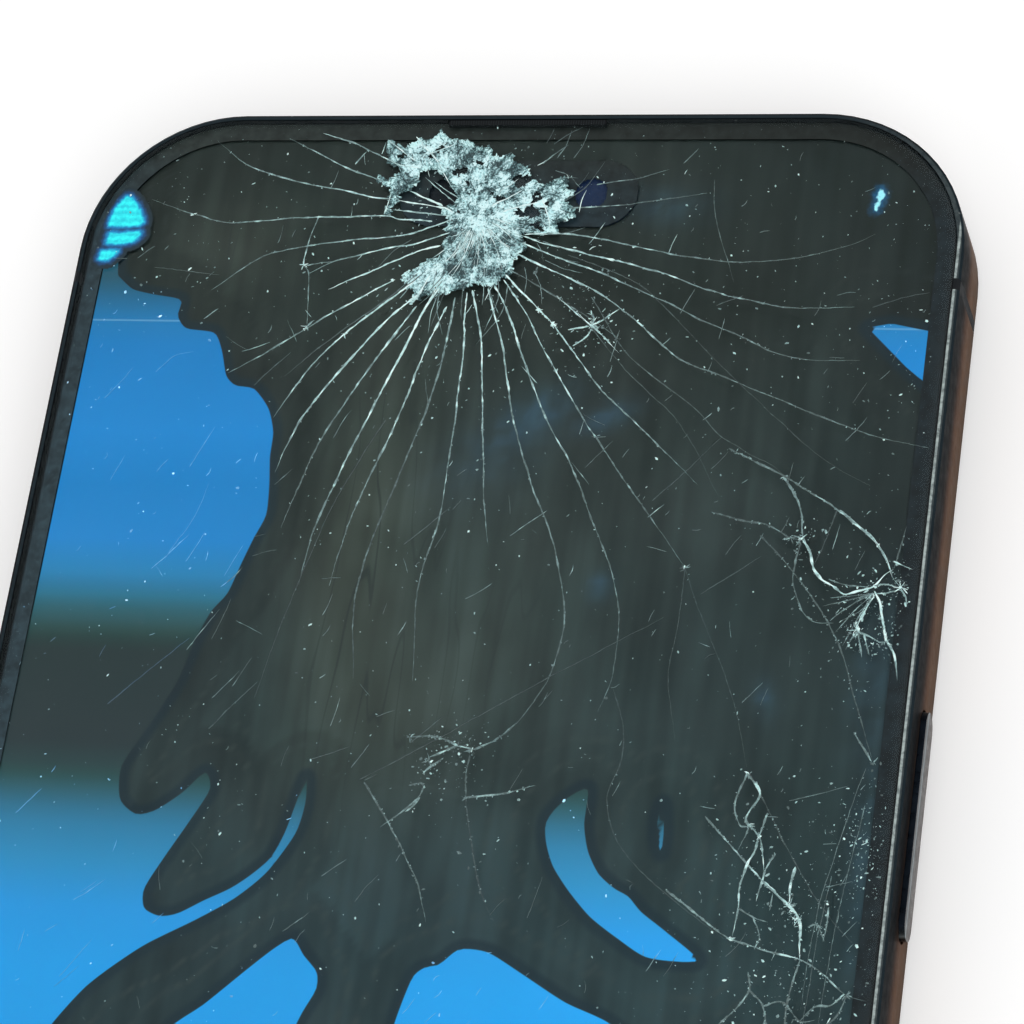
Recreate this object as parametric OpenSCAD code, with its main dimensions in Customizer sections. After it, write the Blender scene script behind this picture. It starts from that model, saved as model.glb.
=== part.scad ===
// Phone with a shattered front glass, lying on its back with the screen up.
// +X is the right side of the screen, +Y its top end and +Z out of the screen.
// The origin is the centre of the footprint, level with the rear lens rings.

/* [Body] */
// Width over the metal band
body_w = 76.7; // [72:0.1:93]
// Length over the metal band
body_l = 159.9; // [150:0.1:192]
// Thickness from rear glass to front glass
body_t = 8.25; // [8.1:0.05:9.9]
// Corner radius of the metal band
corner_r = 13; // [11:0.1:15.6]
// Wall thickness of the metal band
wall = 2; // [1.8:0.05:2.4]
// Width of the band's lip around each glass
lip = 0.55; // [0.4:0.01:0.7]
// Bevel on the outer edges of the band
bevel = 0.28; // [0.1:0.01:0.34]
// Height of each glass face above the band's edge
glass_proud = 0.1; // [0:0.01:0.15]
// Width of each plastic antenna break
break_w = 1; // [0.6:0.1:1.6]
// Depth of each antenna break
break_depth = 1.2; // [0.8:0.1:1.5]
// Distance of the antenna breaks from the end of the band
break_from_end = 15.9; // [14:0.1:22]

/* [Screen] */
// Thickness of the front glass
front_glass_t = 0.7; // [0.55:0.01:0.84]
// Thickness of the adhesive under each glass
adhesive_t = 0.15; // [0.1:0.01:0.2]
// Thickness of the display panel
display_t = 0.6; // [0.4:0.05:0.75]
// Thickness of the plate behind the display
support_t = 0.25; // [0.15:0.01:0.3]
// Length of the camera cut-out in the display
pill_l = 20.8; // [17:0.1:25]
// Height of the camera cut-out in the display
pill_h = 6.2; // [5.4:0.1:7.4]
// Distance of the cut-out's centre from the top end
pill_from_end = 7.4; // [6.8:0.1:8.6]
// Thickness of the inner mid plate
mid_t = 0.7; // [0.5:0.05:0.9]

/* [Damage] */
// Distance of the main impact left of the middle
impact_left = 2.8; // [0:0.1:10]
// Distance of the main impact from the top end
impact_from_end = 11.4; // [9:0.1:20]
// Depth of the crushed pit
pit_depth = 0.3; // [0.1:0.05:0.45]
// Depth of the crack grooves
crack_depth = 0.35; // [0.1:0.05:0.5]
// Width of a crack where it starts
crack_w = 0.14; // [0.08:0.01:0.2]

/* [Rear] */
// Thickness of the rear glass
rear_glass_t = 0.7; // [0.5:0.01:0.84]
// Height of the camera island above the rear glass
island_h = 1.2; // [0.8:0.1:1.6]
// Height of each lens ring above the island
ring_h = 0.8; // [0.5:0.1:1.2]
// Width of the camera island
island_w = 20.6; // [17:0.1:22]
// Distance between neighbouring lenses
lens_pitch = 13.6; // [12.2:0.1:16.3]
// Outer radius of each lens ring
ring_r = 5.7; // [5.4:0.05:5.9]
// Clear radius of each lens ring
ring_bore_r = 3.8; // [3.2:0.05:4]
// Distance of the island's middle from the right side
island_from_side = 13.9; // [13:0.1:16.5]
// Distance of the island's near end from the top end
island_from_end = 5.1; // [2.1:0.1:10.1]
// Radius of the flash window
flash_r = 2.6; // [2:0.1:3]

/* [Buttons] */
// Height of the button caps
button_h = 2.8; // [2.4:0.1:3.2]
// How far the caps stand out of the band
button_proud = 0.45; // [0.3:0.05:0.6]
// Travel of a pressed button
button_travel = 0.3; // [0.2:0.05:0.4]
// Gap between a cap and its slot
button_gap = 0.2; // [0.1:0.01:0.25]
// Length of the power button
power_l = 18.6; // [15:0.1:22.3]
// Length of each volume button
volume_l = 10.4; // [8:0.1:12.4]
// Length of the action button
action_l = 6.2; // [4.5:0.1:7.4]

/* [Ports] */
// Length of the card tray's head
tray_head_l = 12.4; // [12:0.1:14.8]
// Height of the card tray's head
tray_head_h = 1.5; // [1.3:0.05:1.8]
// Length of the card
card_l = 12.3; // [12.1:0.1:12.5]
// Width of the card
card_w = 8.8; // [8.6:0.1:9]
// Clear width of the charging port
port_w = 8.4; // [8.36:0.01:8.5]
// Clear height of the charging port
port_h = 2.65; // [2.6:0.01:2.75]
// Depth of the charging port
port_depth = 7.4; // [6.6:0.1:8.8]
// Radius of the speaker and microphone holes
hole_r = 0.75; // [0.5:0.05:0.9]

/* [Hidden] */
$fn = 64;
gap = 0.05;
eps = 0.01;

z_back = island_h + ring_h;
z_front = z_back + body_t;
band_low = z_back + glass_proud;
band_high = z_front - glass_proud;
glass_gap = 0.1;
glass_inset = lip + glass_gap;
glass_w = body_w - 2 * glass_inset;
glass_l = body_l - 2 * glass_inset;
glass_r = corner_r - glass_inset;
cavity_x = body_w / 2 - wall;
cavity_y = body_l / 2 - wall;
cavity_r = corner_r - wall;

z_glass = z_front - front_glass_t;
z_seat = z_glass - adhesive_t;
z_panel = z_seat - display_t;
z_support = z_panel - gap - support_t;
z_mid_top = z_support - 0.1;
z_mid = z_mid_top - mid_t;
z_hang = z_mid - gap;
z_rear_in = z_back + rear_glass_t;
z_rear_seat = z_rear_in + adhesive_t;
panel_inset = wall + 0.2;

pill_y = body_l / 2 - pill_from_end;
impact = [-impact_left, body_l / 2 - impact_from_end];

island_x = body_w / 2 - island_from_side;
island_l = island_w + 2 * lens_pitch - 2;
island_y = body_l / 2 - island_from_end - island_l / 2;
island_low = z_back - island_h;
ring_neck_r = ring_r - 0.7;
lens_seat_r = ring_bore_r + 0.6;
camera_w = 11;
camera_z = z_rear_in + 0.55;

button_z = z_mid - 2.4;
flange_t = 0.5;
flange_lap = 0.6;
flange_clear = 0.1;
switch_t = 0.35;
power_y = 19.6;
volume_up_y = 29;
volume_down_y = 15.5;
action_y = 44;

tray_z = z_mid - 1.5;
tray_y = -19;
tray_t = 1.2;
tray_w = 10.6;
tray_head_t = 1.8;
tray_l = tray_head_t + card_l + 1.6;
reader_wall = 0.2;
reader_clear = 0.2;

charge_board_t = 0.45;
port_wall = 0.25;
port_z = z_hang - charge_board_t - gap - port_wall - port_h / 2;
port_mouth_y = -body_l / 2 + 0.3;
port_end_y = port_mouth_y + port_depth;
screw_x = 7.8;
screw_r = 0.65;
screw_head_r = 1;
hole_pitch = 2.5;

board_t = 0.7;
board_high = z_mid - 0.6;
board_low = board_high - board_t;
board_left = -cavity_x + 2.2;
board_right = cavity_x - 20.4;
board_y0 = island_y - lens_pitch - camera_w / 2 - 2.3;
board_step_y = cavity_y - 19.4;
board_top = cavity_y - 2.4;
board_step_x = -12.5;
can_wall = 0.15;
can_h = 2;
can_left = [board_left + 5, board_step_x - 1.2, board_y0 + 7, board_top - 5];
can_right = [board_step_x + 2, board_right - 11.2, board_y0 + 7, board_step_y - 3];

battery_x0 = -cavity_x + 14.9;
battery_x1 = cavity_x - 7.8;
battery_y0 = -cavity_y + 21;
battery_y1 = board_y0 - 2;
battery_z0 = z_rear_in + 0.55;
battery_z1 = z_hang - 0.15;
flex_t = 0.15;
flex_x0 = cavity_x - 7.1;
flex_x1 = cavity_x - 2.5;

flash_x = board_right - 5.4;
flash_y = board_step_y - 8.5;
coil_y = (battery_y0 + battery_y1) / 2;

// Each radial crack: angle at the impact, length and how far it bends
RAYS = [
  [158, 26, 4], [169, 29, 7], [150, 19, 4], [181, 23, 13], [214, 24, 0],
  [229, 25, 7], [237, 25, 6], [245, 34, 8], [254, 27, 2], [262, 35, 0],
  [271, 40, 0], [280, 29, 0], [287, 37, 1], [297, 41, -3], [303, 37, 3],
  [311, 27, 3], [317, 36, 6], [329, 38, 6], [338, 35, 3], [346, 33, 2],
  [352, 33, 8], [14, 19, -3]
];
// Cracks around the second impact, from the right side and the top end
EDGE_CRACKS = [
  [[7.2, 34.6], [4.4, 37.2], [3, 40.2], [2.3, 42.4]],
  [[11.6, 33.2], [10.2, 35.6], [9.6, 38.4], [9.2, 40.4], [7.4, 42.6], [4, 42.8], [2.3, 42.4]],
  [[15.4, 37.2], [13, 37.6], [10, 38.6]],
  [[10, 38.6], [10.4, 42.6], [7.6, 45.4], [5.6, 50], [2.6, 54.6]],
  [[2.3, 42.4], [3.6, 46], [1.8, 49.6]]
];
// Cracks of the lower right web, from the right side and the top end
WEB_CRACKS = [
  [[12.2, 58.2], [11.4, 62], [12.2, 66.4], [11, 72]],
  [[9.6, 61.6], [10.4, 65.4], [8.8, 70.6], [9.4, 76]],
  [[15.2, 61.8], [11, 66], [7.2, 69], [6.2, 71.6], [6, 76.4]],
  [[12.6, 71.4], [8.2, 73], [3.4, 75.6], [1.6, 76]]
];
// Outline of the crushed pit, from the impact
PIT = [
  [-2.2, -5], [1.2, -5.4], [3.4, -3.4], [4.6, 0], [7.6, 1], [7.8, 4], [6, 5.4], [4, 6.6],
  [1.2, 8.2], [-1.4, 8.8], [-3.8, 9.5], [-6.8, 9.2], [-9.4, 8.8], [-8.4, 7], [-7, 6],
  [-8, 4.8], [-7.8, 2.2], [-3.8, 1.2], [-3, -1], [-3.6, -3]
];
SCREWS = [
  [board_left + 2.2, board_y0 + 2.6], [board_right - 2, board_y0 + 4.4],
  [board_right - 2, board_step_y - 2], [board_step_x - 2.6, board_step_y + 2.6],
  [board_left + 2.2, board_step_y + 1]
];
CHARGE_SCREWS = [[-9, -cavity_y + 17], [7, -cavity_y + 17]];
LENSES = [-lens_pitch, 0, lens_pitch];

// Rectangle with round corners, centred
module rounded(w, l, r) {
  square([w - 2 * r, l], center = true);
  square([w, l - 2 * r], center = true);
  for (sx = [-1, 1], sy = [-1, 1])
    translate([sx * (w / 2 - r), sy * (l / 2 - r)])
      circle(r);
}

// Slot with round ends that runs along its first direction
module pill(l, h) {
  square([l - h, h], center = true);
  for (s = [-1, 1])
    translate([s * (l - h) / 2, 0])
      circle(h / 2);
}

// Slab of a plan between two heights
module slab(z0, z1) {
  translate([0, 0, z0])
    linear_extrude(z1 - z0)
      children();
}

// Box between two corners
module box(low, high) {
  translate(low)
    cube(high - low);
}

// Plan of the space inside the band, less a margin
module cavity(margin) {
  rounded(2 * (cavity_x - margin), 2 * (cavity_y - margin), cavity_r - margin);
}

// A profile carried round the whole outline, its x counted from the corner's centre
module swept(w, l, r) {
  for (k = [[1, 1, 0], [-1, 1, 90], [-1, -1, 180], [1, -1, 270]])
    translate([k[0] * (w / 2 - r), k[1] * (l / 2 - r), 0])
      rotate([0, 0, k[2]])
        rotate_extrude(angle = 90)
          children();
  for (s = [0, 180]) {
    rotate([0, 0, s])
      translate([w / 2 - r, l / 2 - r, 0])
        rotate([90, 0, 0])
          linear_extrude(l - 2 * r)
            children();
    rotate([0, 0, s + 90])
      translate([l / 2 - r, w / 2 - r, 0])
        rotate([90, 0, 0])
          linear_extrude(w - 2 * r)
            children();
  }
}

// Section of the band: bevels outside, a lip and a seat for each glass
module band_section() {
  outer = corner_r;
  inner = corner_r - wall;
  polygon([
    [outer - bevel, band_low], [outer, band_low + bevel],
    [outer, band_high - bevel], [outer - bevel, band_high],
    [outer - lip, band_high], [outer - lip, z_seat],
    [inner, z_seat], [inner, z_rear_seat],
    [outer - lip, z_rear_seat], [outer - lip, band_low]
  ]);
}

// The space that one antenna break takes out of the band
module break_space(side, end) {
  y = end * (body_l / 2 - break_from_end);
  x = side * (body_w / 2 - break_depth / 2 + 1);
  translate([x, y, (band_low + band_high) / 2])
    cube([break_depth + 2, break_w, body_t + 2], center = true);
}

// Slot in a side wall, with its middle at a height and a place along Y
module side_slot(side, y, z, l, h) {
  translate([side * (body_w / 2 + 1), y, z])
    rotate([0, -side * 90, 0])
      linear_extrude(wall + 2)
        rotate(90)
          pill(l, h);
}

// Round hole through the bottom wall
module bottom_hole(x, z, r) {
  translate([x, -body_l / 2 - 1, z])
    rotate([-90, 0, 0])
      cylinder(r = r, h = wall + 2);
}

// Shape of the charging port's mouth, grown by a margin, along +Y
module port_prism(margin, y0, y1) {
  translate([0, y0, port_z])
    rotate([-90, 0, 0])
      linear_extrude(y1 - y0)
        pill(port_w + 2 * margin, port_h + 2 * margin);
}

module side_band() {
  color("#5d4a3d")
    difference() {
      swept(body_w, body_l, corner_r)
        band_section();
      for (side = [-1, 1], end = [-1, 1])
        break_space(side, end);
      side_slot(1, power_y, button_z, power_l + 2 * button_gap, button_h + 2 * button_gap);
      for (y = [volume_up_y, volume_down_y])
        side_slot(-1, y, button_z, volume_l + 2 * button_gap, button_h + 2 * button_gap);
      side_slot(-1, action_y, button_z, action_l + 2 * button_gap, button_h + 2 * button_gap);
      side_slot(-1, tray_y, tray_z, tray_head_l + 0.3, tray_head_h + 0.3);
      port_prism(port_wall + 0.1, -body_l / 2 - 1, -cavity_y + 1);
      for (k = [0:5])
        bottom_hole(13.5 + k * hole_pitch, port_z, hole_r);
      for (k = [0:1])
        bottom_hole(-13.5 - k * hole_pitch, port_z, hole_r);
      for (s = [-1, 1]) {
        bottom_hole(s * screw_x, port_z, screw_r + gap);
        translate([s * screw_x, -body_l / 2 - 1, port_z])
          rotate([-90, 0, 0])
            cylinder(r = screw_head_r + gap, h = 2.1);
      }
    }
}

module antenna_break(side, end) {
  color("#1f2528")
    intersection() {
      swept(body_w, body_l, corner_r)
        band_section();
      break_space(side, end);
    }
}

module mid_plate() {
  lug_w = 3.2;
  color("#7d8286")
    difference() {
      union() {
        slab(z_mid, z_mid_top)
          cavity(gap);
        for (p = SCREWS)
          translate([p[0], p[1], board_high])
            cylinder(r = 1.4, h = z_mid - board_high + eps);
        for (s = [-1, 1])
          box([s * screw_x - lug_w / 2, -cavity_y + gap, port_z - lug_w / 2],
              [s * screw_x + lug_w / 2, -cavity_y + 2.8, z_mid + eps]);
      }
      for (p = concat(SCREWS, CHARGE_SCREWS))
        translate([p[0], p[1], board_high - 1])
          cylinder(r = 0.45, h = z_mid_top - 0.3 - board_high + 1);
      for (s = [-1, 1])
        translate([s * screw_x, -cavity_y - 1, port_z])
          rotate([-90, 0, 0])
            cylinder(r = screw_r + gap, h = 3.6);
      box([-10.6, pill_y - 4.1, z_mid - 1], [10.6, pill_y + 4.1, z_mid_top + 1]);
      box([-7, -cavity_y + 11, z_mid - 1], [7, -cavity_y + 13, z_mid_top + 1]);
    }
}

// Left or right offset of one point of a crack, narrowing to the tip
function crack_side(p, i, side) =
  let (a = p[max(i - 1, 0)], b = p[min(i + 1, len(p) - 1)])
  let (h = atan2(b[1] - a[1], b[0] - a[0]), w = crack_w * (1 - 0.75 * i / (len(p) - 1)))
  p[i] + side * w / 2 * [-sin(h), cos(h)];

// Thin outline that follows a crack
module crack(p) {
  n = len(p) - 1;
  polygon(concat(
    [for (i = [0:n]) crack_side(p, i, 1)],
    [for (i = [n:-1:0]) crack_side(p, i, -1)]
  ));
}

// Points of a radial crack, from the pit outwards
function ray(angle, length, bend) =
  [for (r = [4.5:(length - 4.5) / 6:length + eps])
    impact + r * [cos(angle + bend * r / length), sin(angle + bend * r / length)]];

// A crack given from the right side and the top end
function from_corner(p) = [for (q = p) [body_w / 2 - q[0], body_l / 2 - q[1]]];

module front_glass() {
  color([0.16, 0.2, 0.2, 0.55])
    difference() {
      slab(z_glass, z_front)
        rounded(glass_w, glass_l, glass_r);
      slab(z_front - pit_depth, z_front + 1)
        translate(impact)
          polygon(PIT);
      for (r = RAYS)
        slab(z_front - crack_depth, z_front + 1)
          crack(ray(r[0], r[1], r[2]));
      for (p = concat(EDGE_CRACKS, WEB_CRACKS))
        slab(z_front - crack_depth, z_front + 1)
          crack(from_corner(p));
      box([-7, glass_l / 2 - 0.5, z_glass - 1], [7, glass_l / 2 + 1, z_front + 1]);
    }
}

// Fan of loose wedge-shaped chips that lie on the pit's floor
module chip_fan(centre, r_in, r_out, count, seed) {
  step = 360 / count;
  heights = rands(0.4, 1, count, seed);
  turn = rands(0, step, 1, seed)[0];
  for (k = [0:count - 1]) {
    a = turn + k * step + 6;
    b = turn + (k + 1) * step - 6;
    translate([centre[0], centre[1], z_front - pit_depth])
      linear_extrude(heights[k] * pit_depth)
        polygon([
          r_in * [cos(a), sin(a)], r_out * [cos(a), sin(a)],
          r_out * [cos(b), sin(b)], r_in * [cos(b), sin(b)]
        ]);
  }
}

module crushed_glass_chips() {
  color("#dfeeee") {
    chip_fan(impact + [0, -1.6], 0.5, 1.4, 6, 3);
    chip_fan(impact + [0, -1.6], 1.6, 2.4, 8, 5);
    chip_fan(impact + [-3.6, 5.4], 0.6, 1.5, 7, 8);
    chip_fan(impact + [-3.6, 5.4], 1.7, 2.5, 9, 11);
    chip_fan(impact + [4.2, 3.4], 0.5, 1.6, 6, 14);
  }
}

module optical_adhesive() {
  color([0.6, 0.64, 0.64, 0.4])
    slab(z_seat, z_glass)
      difference() {
        cavity(0.2);
        translate([0, pill_y])
          pill(pill_l, pill_h);
      }
}

module display_panel() {
  color("#10161a")
    slab(z_panel, z_seat)
      difference() {
        cavity(panel_inset - wall);
        translate([0, pill_y])
          pill(pill_l, pill_h);
      }
}

module display_support_plate() {
  color("#9a9184")
    difference() {
      slab(z_support, z_support + support_t)
        cavity(0.4);
      box([-11, pill_y - 4.4, z_support - 1], [11, pill_y + 4.4, z_panel]);
      box([-27, -cavity_y + 4, z_support - 1], [27, -cavity_y + 14, z_panel]);
    }
}

module display_flex() {
  color("#8a5a24") {
    box([-26, -cavity_y + 5, z_panel - gap - flex_t], [26, -cavity_y + 13, z_panel - gap]);
    box([-6, -cavity_y + 11.9, z_hang - 0.4], [6, -cavity_y + 12.1, z_panel - gap - flex_t]);
  }
}

// Flat ring that lies on one of the band's glass seats
module gasket() {
  difference() {
    rounded(glass_w, glass_l, glass_r);
    cavity(0.1);
  }
}

module front_gasket() {
  color("#15191b")
    slab(z_seat, z_glass)
      gasket();
}

module rear_gasket() {
  color("#15191b")
    slab(z_rear_in, z_rear_seat)
      gasket();
}

module rear_glass() {
  color("#3b3632")
    difference() {
      slab(z_back, z_rear_in)
        rounded(glass_w, glass_l, glass_r);
      translate([island_x, island_y, z_back - 1])
        linear_extrude(rear_glass_t + 2)
          rotate(90)
            pill(island_l + 0.2, island_w + 0.2);
      translate([flash_x, flash_y, z_back - 1])
        cylinder(r = flash_r + 0.1, h = rear_glass_t + 2);
    }
}

module camera_island() {
  color("#4a3f37")
    difference() {
      translate([island_x, island_y, 0]) {
        slab(island_low, z_rear_in + gap)
          rotate(90)
            pill(island_l, island_w);
        slab(z_rear_in + gap, z_rear_in + 0.3)
          rotate(90)
            pill(island_l + 2, island_w + 2);
      }
      for (s = LENSES)
        translate([island_x, island_y + s, 0])
          cylinder(r = ring_neck_r + 0.1, h = z_mid);
    }
}

module lens_ring(s) {
  color("#80766c")
    translate([island_x, island_y + s, 0])
      rotate_extrude()
        polygon([
          [lens_seat_r, 0], [ring_r - 0.2, 0], [ring_r, 0.2], [ring_r, island_low],
          [ring_neck_r, island_low], [ring_neck_r, z_rear_in + 0.2],
          [ring_bore_r, z_rear_in + 0.2], [ring_bore_r, ring_h + 0.1],
          [lens_seat_r, ring_h + 0.1]
        ]);
}

module lens_glass(s) {
  color([0.05, 0.07, 0.1, 0.7])
    translate([island_x, island_y + s, 0.2])
      cylinder(r = lens_seat_r - gap, h = ring_h - 0.1);
}

module rear_camera(s) {
  color("#202326")
    translate([island_x, island_y + s, 0]) {
      translate([-camera_w / 2, -camera_w / 2, camera_z])
        cube([camera_w, camera_w, z_hang - camera_z]);
      translate([0, 0, ring_h + 0.3])
        cylinder(r = ring_bore_r - 0.3, h = camera_z - ring_h - 0.3);
    }
}

module flash_window() {
  color("#e8e0b8")
    translate([flash_x, flash_y, z_back])
      cylinder(r = flash_r, h = rear_glass_t);
}

module flash_module() {
  color("#c9b54a")
    translate([flash_x, flash_y, (z_rear_in + 0.1 + board_low - gap) / 2])
      cube([4.6, 4.6, board_low - gap - z_rear_in - 0.1], center = true);
}

// Square module with a round nose that looks out through the display cut-out
module front_module(x, nose_r) {
  side = 7.4;
  translate([x - side / 2, pill_y - side / 2, z_mid - 3])
    cube([side, side, z_support - z_mid + 3]);
  translate([x, pill_y, z_support - eps])
    cylinder(r = nose_r, h = z_seat - z_support - 0.1);
}

module front_camera() {
  color("#191c20")
    front_module(-6.4, 2.5);
}

module face_sensor() {
  color("#23262c")
    front_module(6.4, 2);
}

module earpiece_speaker() {
  color("#2a2c2e")
    box([-9, pill_y - 12, z_mid - 2.6], [9, pill_y - 5.6, z_hang]);
}

module earpiece_mesh() {
  color("#2f3437")
    box([-6.9, glass_l / 2 - 0.45, z_glass], [6.9, glass_l / 2, z_front - 0.15]);
}

module battery() {
  color("#2c2f33") {
    translate([(battery_x0 + battery_x1) / 2, (battery_y0 + battery_y1) / 2, 0])
      slab(battery_z0, battery_z1)
        rounded(battery_x1 - battery_x0, battery_y1 - battery_y0, 1.5);
    box([-18, battery_y1 - eps, board_low - gap - 0.25],
        [-9, board_y0 + 5, board_low - gap]);
  }
}

module battery_adhesive() {
  color("#d8d8d0")
    for (s = [0.25, 0.75])
      translate([battery_x0 + s * (battery_x1 - battery_x0) - 4, battery_y0 + 6, battery_z1])
        cube([8, battery_y1 - battery_y0 - 12, z_mid - battery_z1]);
}

module main_board() {
  color("#1f4a33")
    difference() {
      slab(board_low, board_high)
        intersection() {
          union() {
            translate([board_left, board_y0])
              square([board_step_x - board_left, board_top - board_y0]);
            translate([board_left, board_y0])
              square([board_right - board_left, board_step_y - board_y0]);
          }
          cavity(0.4);
        }
      for (p = SCREWS)
        translate([p[0], p[1], board_low - 1])
          cylinder(r = 0.5, h = board_t + 2);
    }
}

// Thin lid soldered over a group of chips
module shield_can(x0, x1, y0, y1) {
  color("#b7b9b6")
    difference() {
      box([x0, y0, board_low - can_h], [x1, y1, board_low]);
      box([x0 + can_wall, y0 + can_wall, board_low - can_h + can_wall],
          [x1 - can_wall, y1 - can_wall, board_low + 1]);
    }
}

module shield_can_left() {
  shield_can(can_left[0], can_left[1], can_left[2], can_left[3]);
}

module shield_can_right() {
  shield_can(can_right[0], can_right[1], can_right[2], can_right[3]);
}

// Flat chip that hangs under the board, from one corner
module chip(x, y, w, l, t) {
  color("#17191b")
    box([x, y, board_low - t], [x + w, y + l, board_low]);
}

module processor() {
  chip(can_left[0] + 1.4, can_left[2] + 2, 11.6, 13, 1.3);
}

module storage_chip() {
  chip(can_left[0] + 1.4, can_left[3] - 14, 9, 11.5, 0.9);
}

module modem_chip() {
  chip(can_right[0] + 1.4, can_right[2] + 1.6, 7.5, 7.5, 0.8);
}

module power_chip() {
  chip(can_right[0] + 2, can_right[3] - 7, 5.4, 5, 0.7);
}

module board_flex() {
  top = board_y0 + 1.8;
  join_y = -cavity_y + 18.6;
  color("#a4662a") {
    slab(z_hang - flex_t, z_hang)
      polygon([
        [9, join_y - 2.6], [flex_x1, join_y - 2.6], [flex_x1, top],
        [board_right - 9.4, top], [board_right - 9.4, top - 2.4],
        [flex_x0, top - 2.4], [flex_x0, join_y], [9, join_y]
      ]);
    box([board_right - 9, board_y0 + 0.3, board_high], [board_right - 5, top, z_hang - flex_t]);
  }
}

module charging_board() {
  low = z_hang - charge_board_t;
  color("#1f4a33")
    difference() {
      box([-12, -cavity_y + 3.2, low], [8.8, -cavity_y + 20, z_hang]);
      box([-7, -cavity_y + 10.6, low - 1], [7, -cavity_y + 13.4, z_hang + 1]);
      for (p = CHARGE_SCREWS)
        translate([p[0], p[1], low - 1])
          cylinder(r = 0.5, h = charge_board_t + 2);
    }
}

module port_shell() {
  color("#a9adb0")
    difference() {
      port_prism(port_wall, port_mouth_y, port_end_y + port_wall);
      port_prism(0, port_mouth_y - 1, port_end_y);
    }
}

module port_tongue() {
  color("#22262a")
    box([-3.35, port_mouth_y + 1.1, port_z - 0.35], [3.35, port_end_y, port_z + 0.35]);
}

module bottom_speaker() {
  color("#26292b")
    slab(z_rear_in + 0.6, z_hang - flex_t - gap)
      intersection() {
        translate([11, -cavity_y])
          square([cavity_x - 11, 15.6]);
        cavity(0.3);
      }
}

module bottom_microphone() {
  color("#b9a35c")
    box([-18, -cavity_y + 0.3, port_z - 1.2], [-12.6, -cavity_y + 2.6, z_hang]);
}

module haptic_motor() {
  color("#8f9499")
    slab(z_rear_in + 1.2, z_hang)
      intersection() {
        translate([-cavity_x + 2, -cavity_y + 4.4])
          square([cavity_x - 14.6, 11]);
        cavity(0.3);
      }
}

module wireless_coil() {
  color("#a8642c")
    translate([0, coil_y, z_rear_in + gap])
      difference() {
        cylinder(r = 21, h = 0.25);
        translate([0, 0, -1])
          cylinder(r = 11, h = 3);
      }
}

module ferrite_sheet() {
  color("#4b4d50")
    translate([0, coil_y, 0])
      slab(z_rear_in + gap + 0.25, z_rear_in + 0.5)
        rounded(44, 44, 4);
}

module card_tray() {
  color("#5d4a3d")
    translate([-body_w / 2, tray_y, tray_z])
      difference() {
        union() {
          rotate([90, 0, 90])
            linear_extrude(tray_head_t)
              pill(tray_head_l, tray_head_h);
          box([tray_head_t - eps, -tray_w / 2, -tray_t / 2], [tray_l, tray_w / 2, tray_t / 2]);
        }
        box([tray_head_t + 0.6, -card_w / 2 - 0.1, -0.12],
            [tray_head_t + 0.8 + card_l, card_w / 2 + 0.1, tray_t]);
        box([tray_head_t + 1.6, -card_w / 2 + 0.8, -tray_t],
            [tray_head_t + card_l - 0.2, card_w / 2 - 0.8, tray_t]);
        translate([-1, tray_head_l / 2 - tray_head_h / 2 - 0.2, 0])
          rotate([0, 90, 0])
            cylinder(r = 0.4, h = tray_head_t);
      }
}

module card() {
  color("#d9c27a")
    translate([-body_w / 2 + tray_head_t + 0.7, tray_y - card_w / 2, tray_z - 0.12])
      cube([card_l, card_w, 0.67]);
}

module card_reader() {
  half = tray_w / 2 + reader_clear;
  low = tray_z - tray_t / 2 - reader_clear;
  end = -body_w / 2 + tray_l + 0.3;
  color("#c3c6c4")
    difference() {
      box([-cavity_x + 0.1, tray_y - half - reader_wall, low - reader_wall],
          [end + reader_wall, tray_y + half + reader_wall, z_hang]);
      box([-cavity_x - 1, tray_y - half, low], [end, tray_y + half, tray_z + tray_t / 2 + reader_clear]);
    }
}

// Button cap with a flange that keeps it inside the band
module side_button(side, y, l) {
  depth = wall + flange_clear + flange_t + button_proud;
  translate([side * (body_w / 2 + button_proud), y, button_z])
    rotate([0, -side * 90, 0]) {
      linear_extrude(depth - flange_t)
        rotate(90)
          pill(l, button_h);
      translate([0, 0, depth - flange_t])
        linear_extrude(flange_t)
          rotate(90)
            square([l + 2 * flange_lap, button_h + 2 * flange_lap - 0.4], center = true);
    }
}

module power_button() {
  color("#3a3431")
    side_button(1, power_y, power_l);
}

module volume_up_button() {
  color("#3a3431")
    side_button(-1, volume_up_y, volume_l);
}

module volume_down_button() {
  color("#3a3431")
    side_button(-1, volume_down_y, volume_l);
}

module action_button() {
  color("#3a3431")
    side_button(-1, action_y, action_l);
}

// Bracket with one dome behind each button, its feet against the band
module switch_bracket(side, y0, y1, domes) {
  dome_face = cavity_x - flange_clear - flange_t - button_travel - gap;
  plate = dome_face - 0.4;
  mirror([side < 0 ? 1 : 0, 0, 0]) {
    box([plate - switch_t, y0, button_z - 1.5], [plate, y1, button_z + 1.5]);
    for (y = [y0, y1 - 0.6])
      box([plate - eps, y, button_z - 1.5], [cavity_x - gap, y + 0.6, button_z + 1.5]);
    for (y = domes)
      translate([plate - eps, y, button_z])
        rotate([0, 90, 0])
          cylinder(r = 1.2, h = dome_face - plate + eps);
  }
}

module right_switch() {
  reach = power_l / 2 + flange_lap + 1;
  color("#b08a3c")
    switch_bracket(1, power_y - reach, power_y + reach, [power_y]);
}

module left_switches() {
  color("#b08a3c")
    switch_bracket(-1, volume_down_y - volume_l / 2 - flange_lap - 1,
                   action_y + action_l / 2 + flange_lap + 1,
                   [volume_down_y, volume_up_y, action_y]);
}

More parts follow.
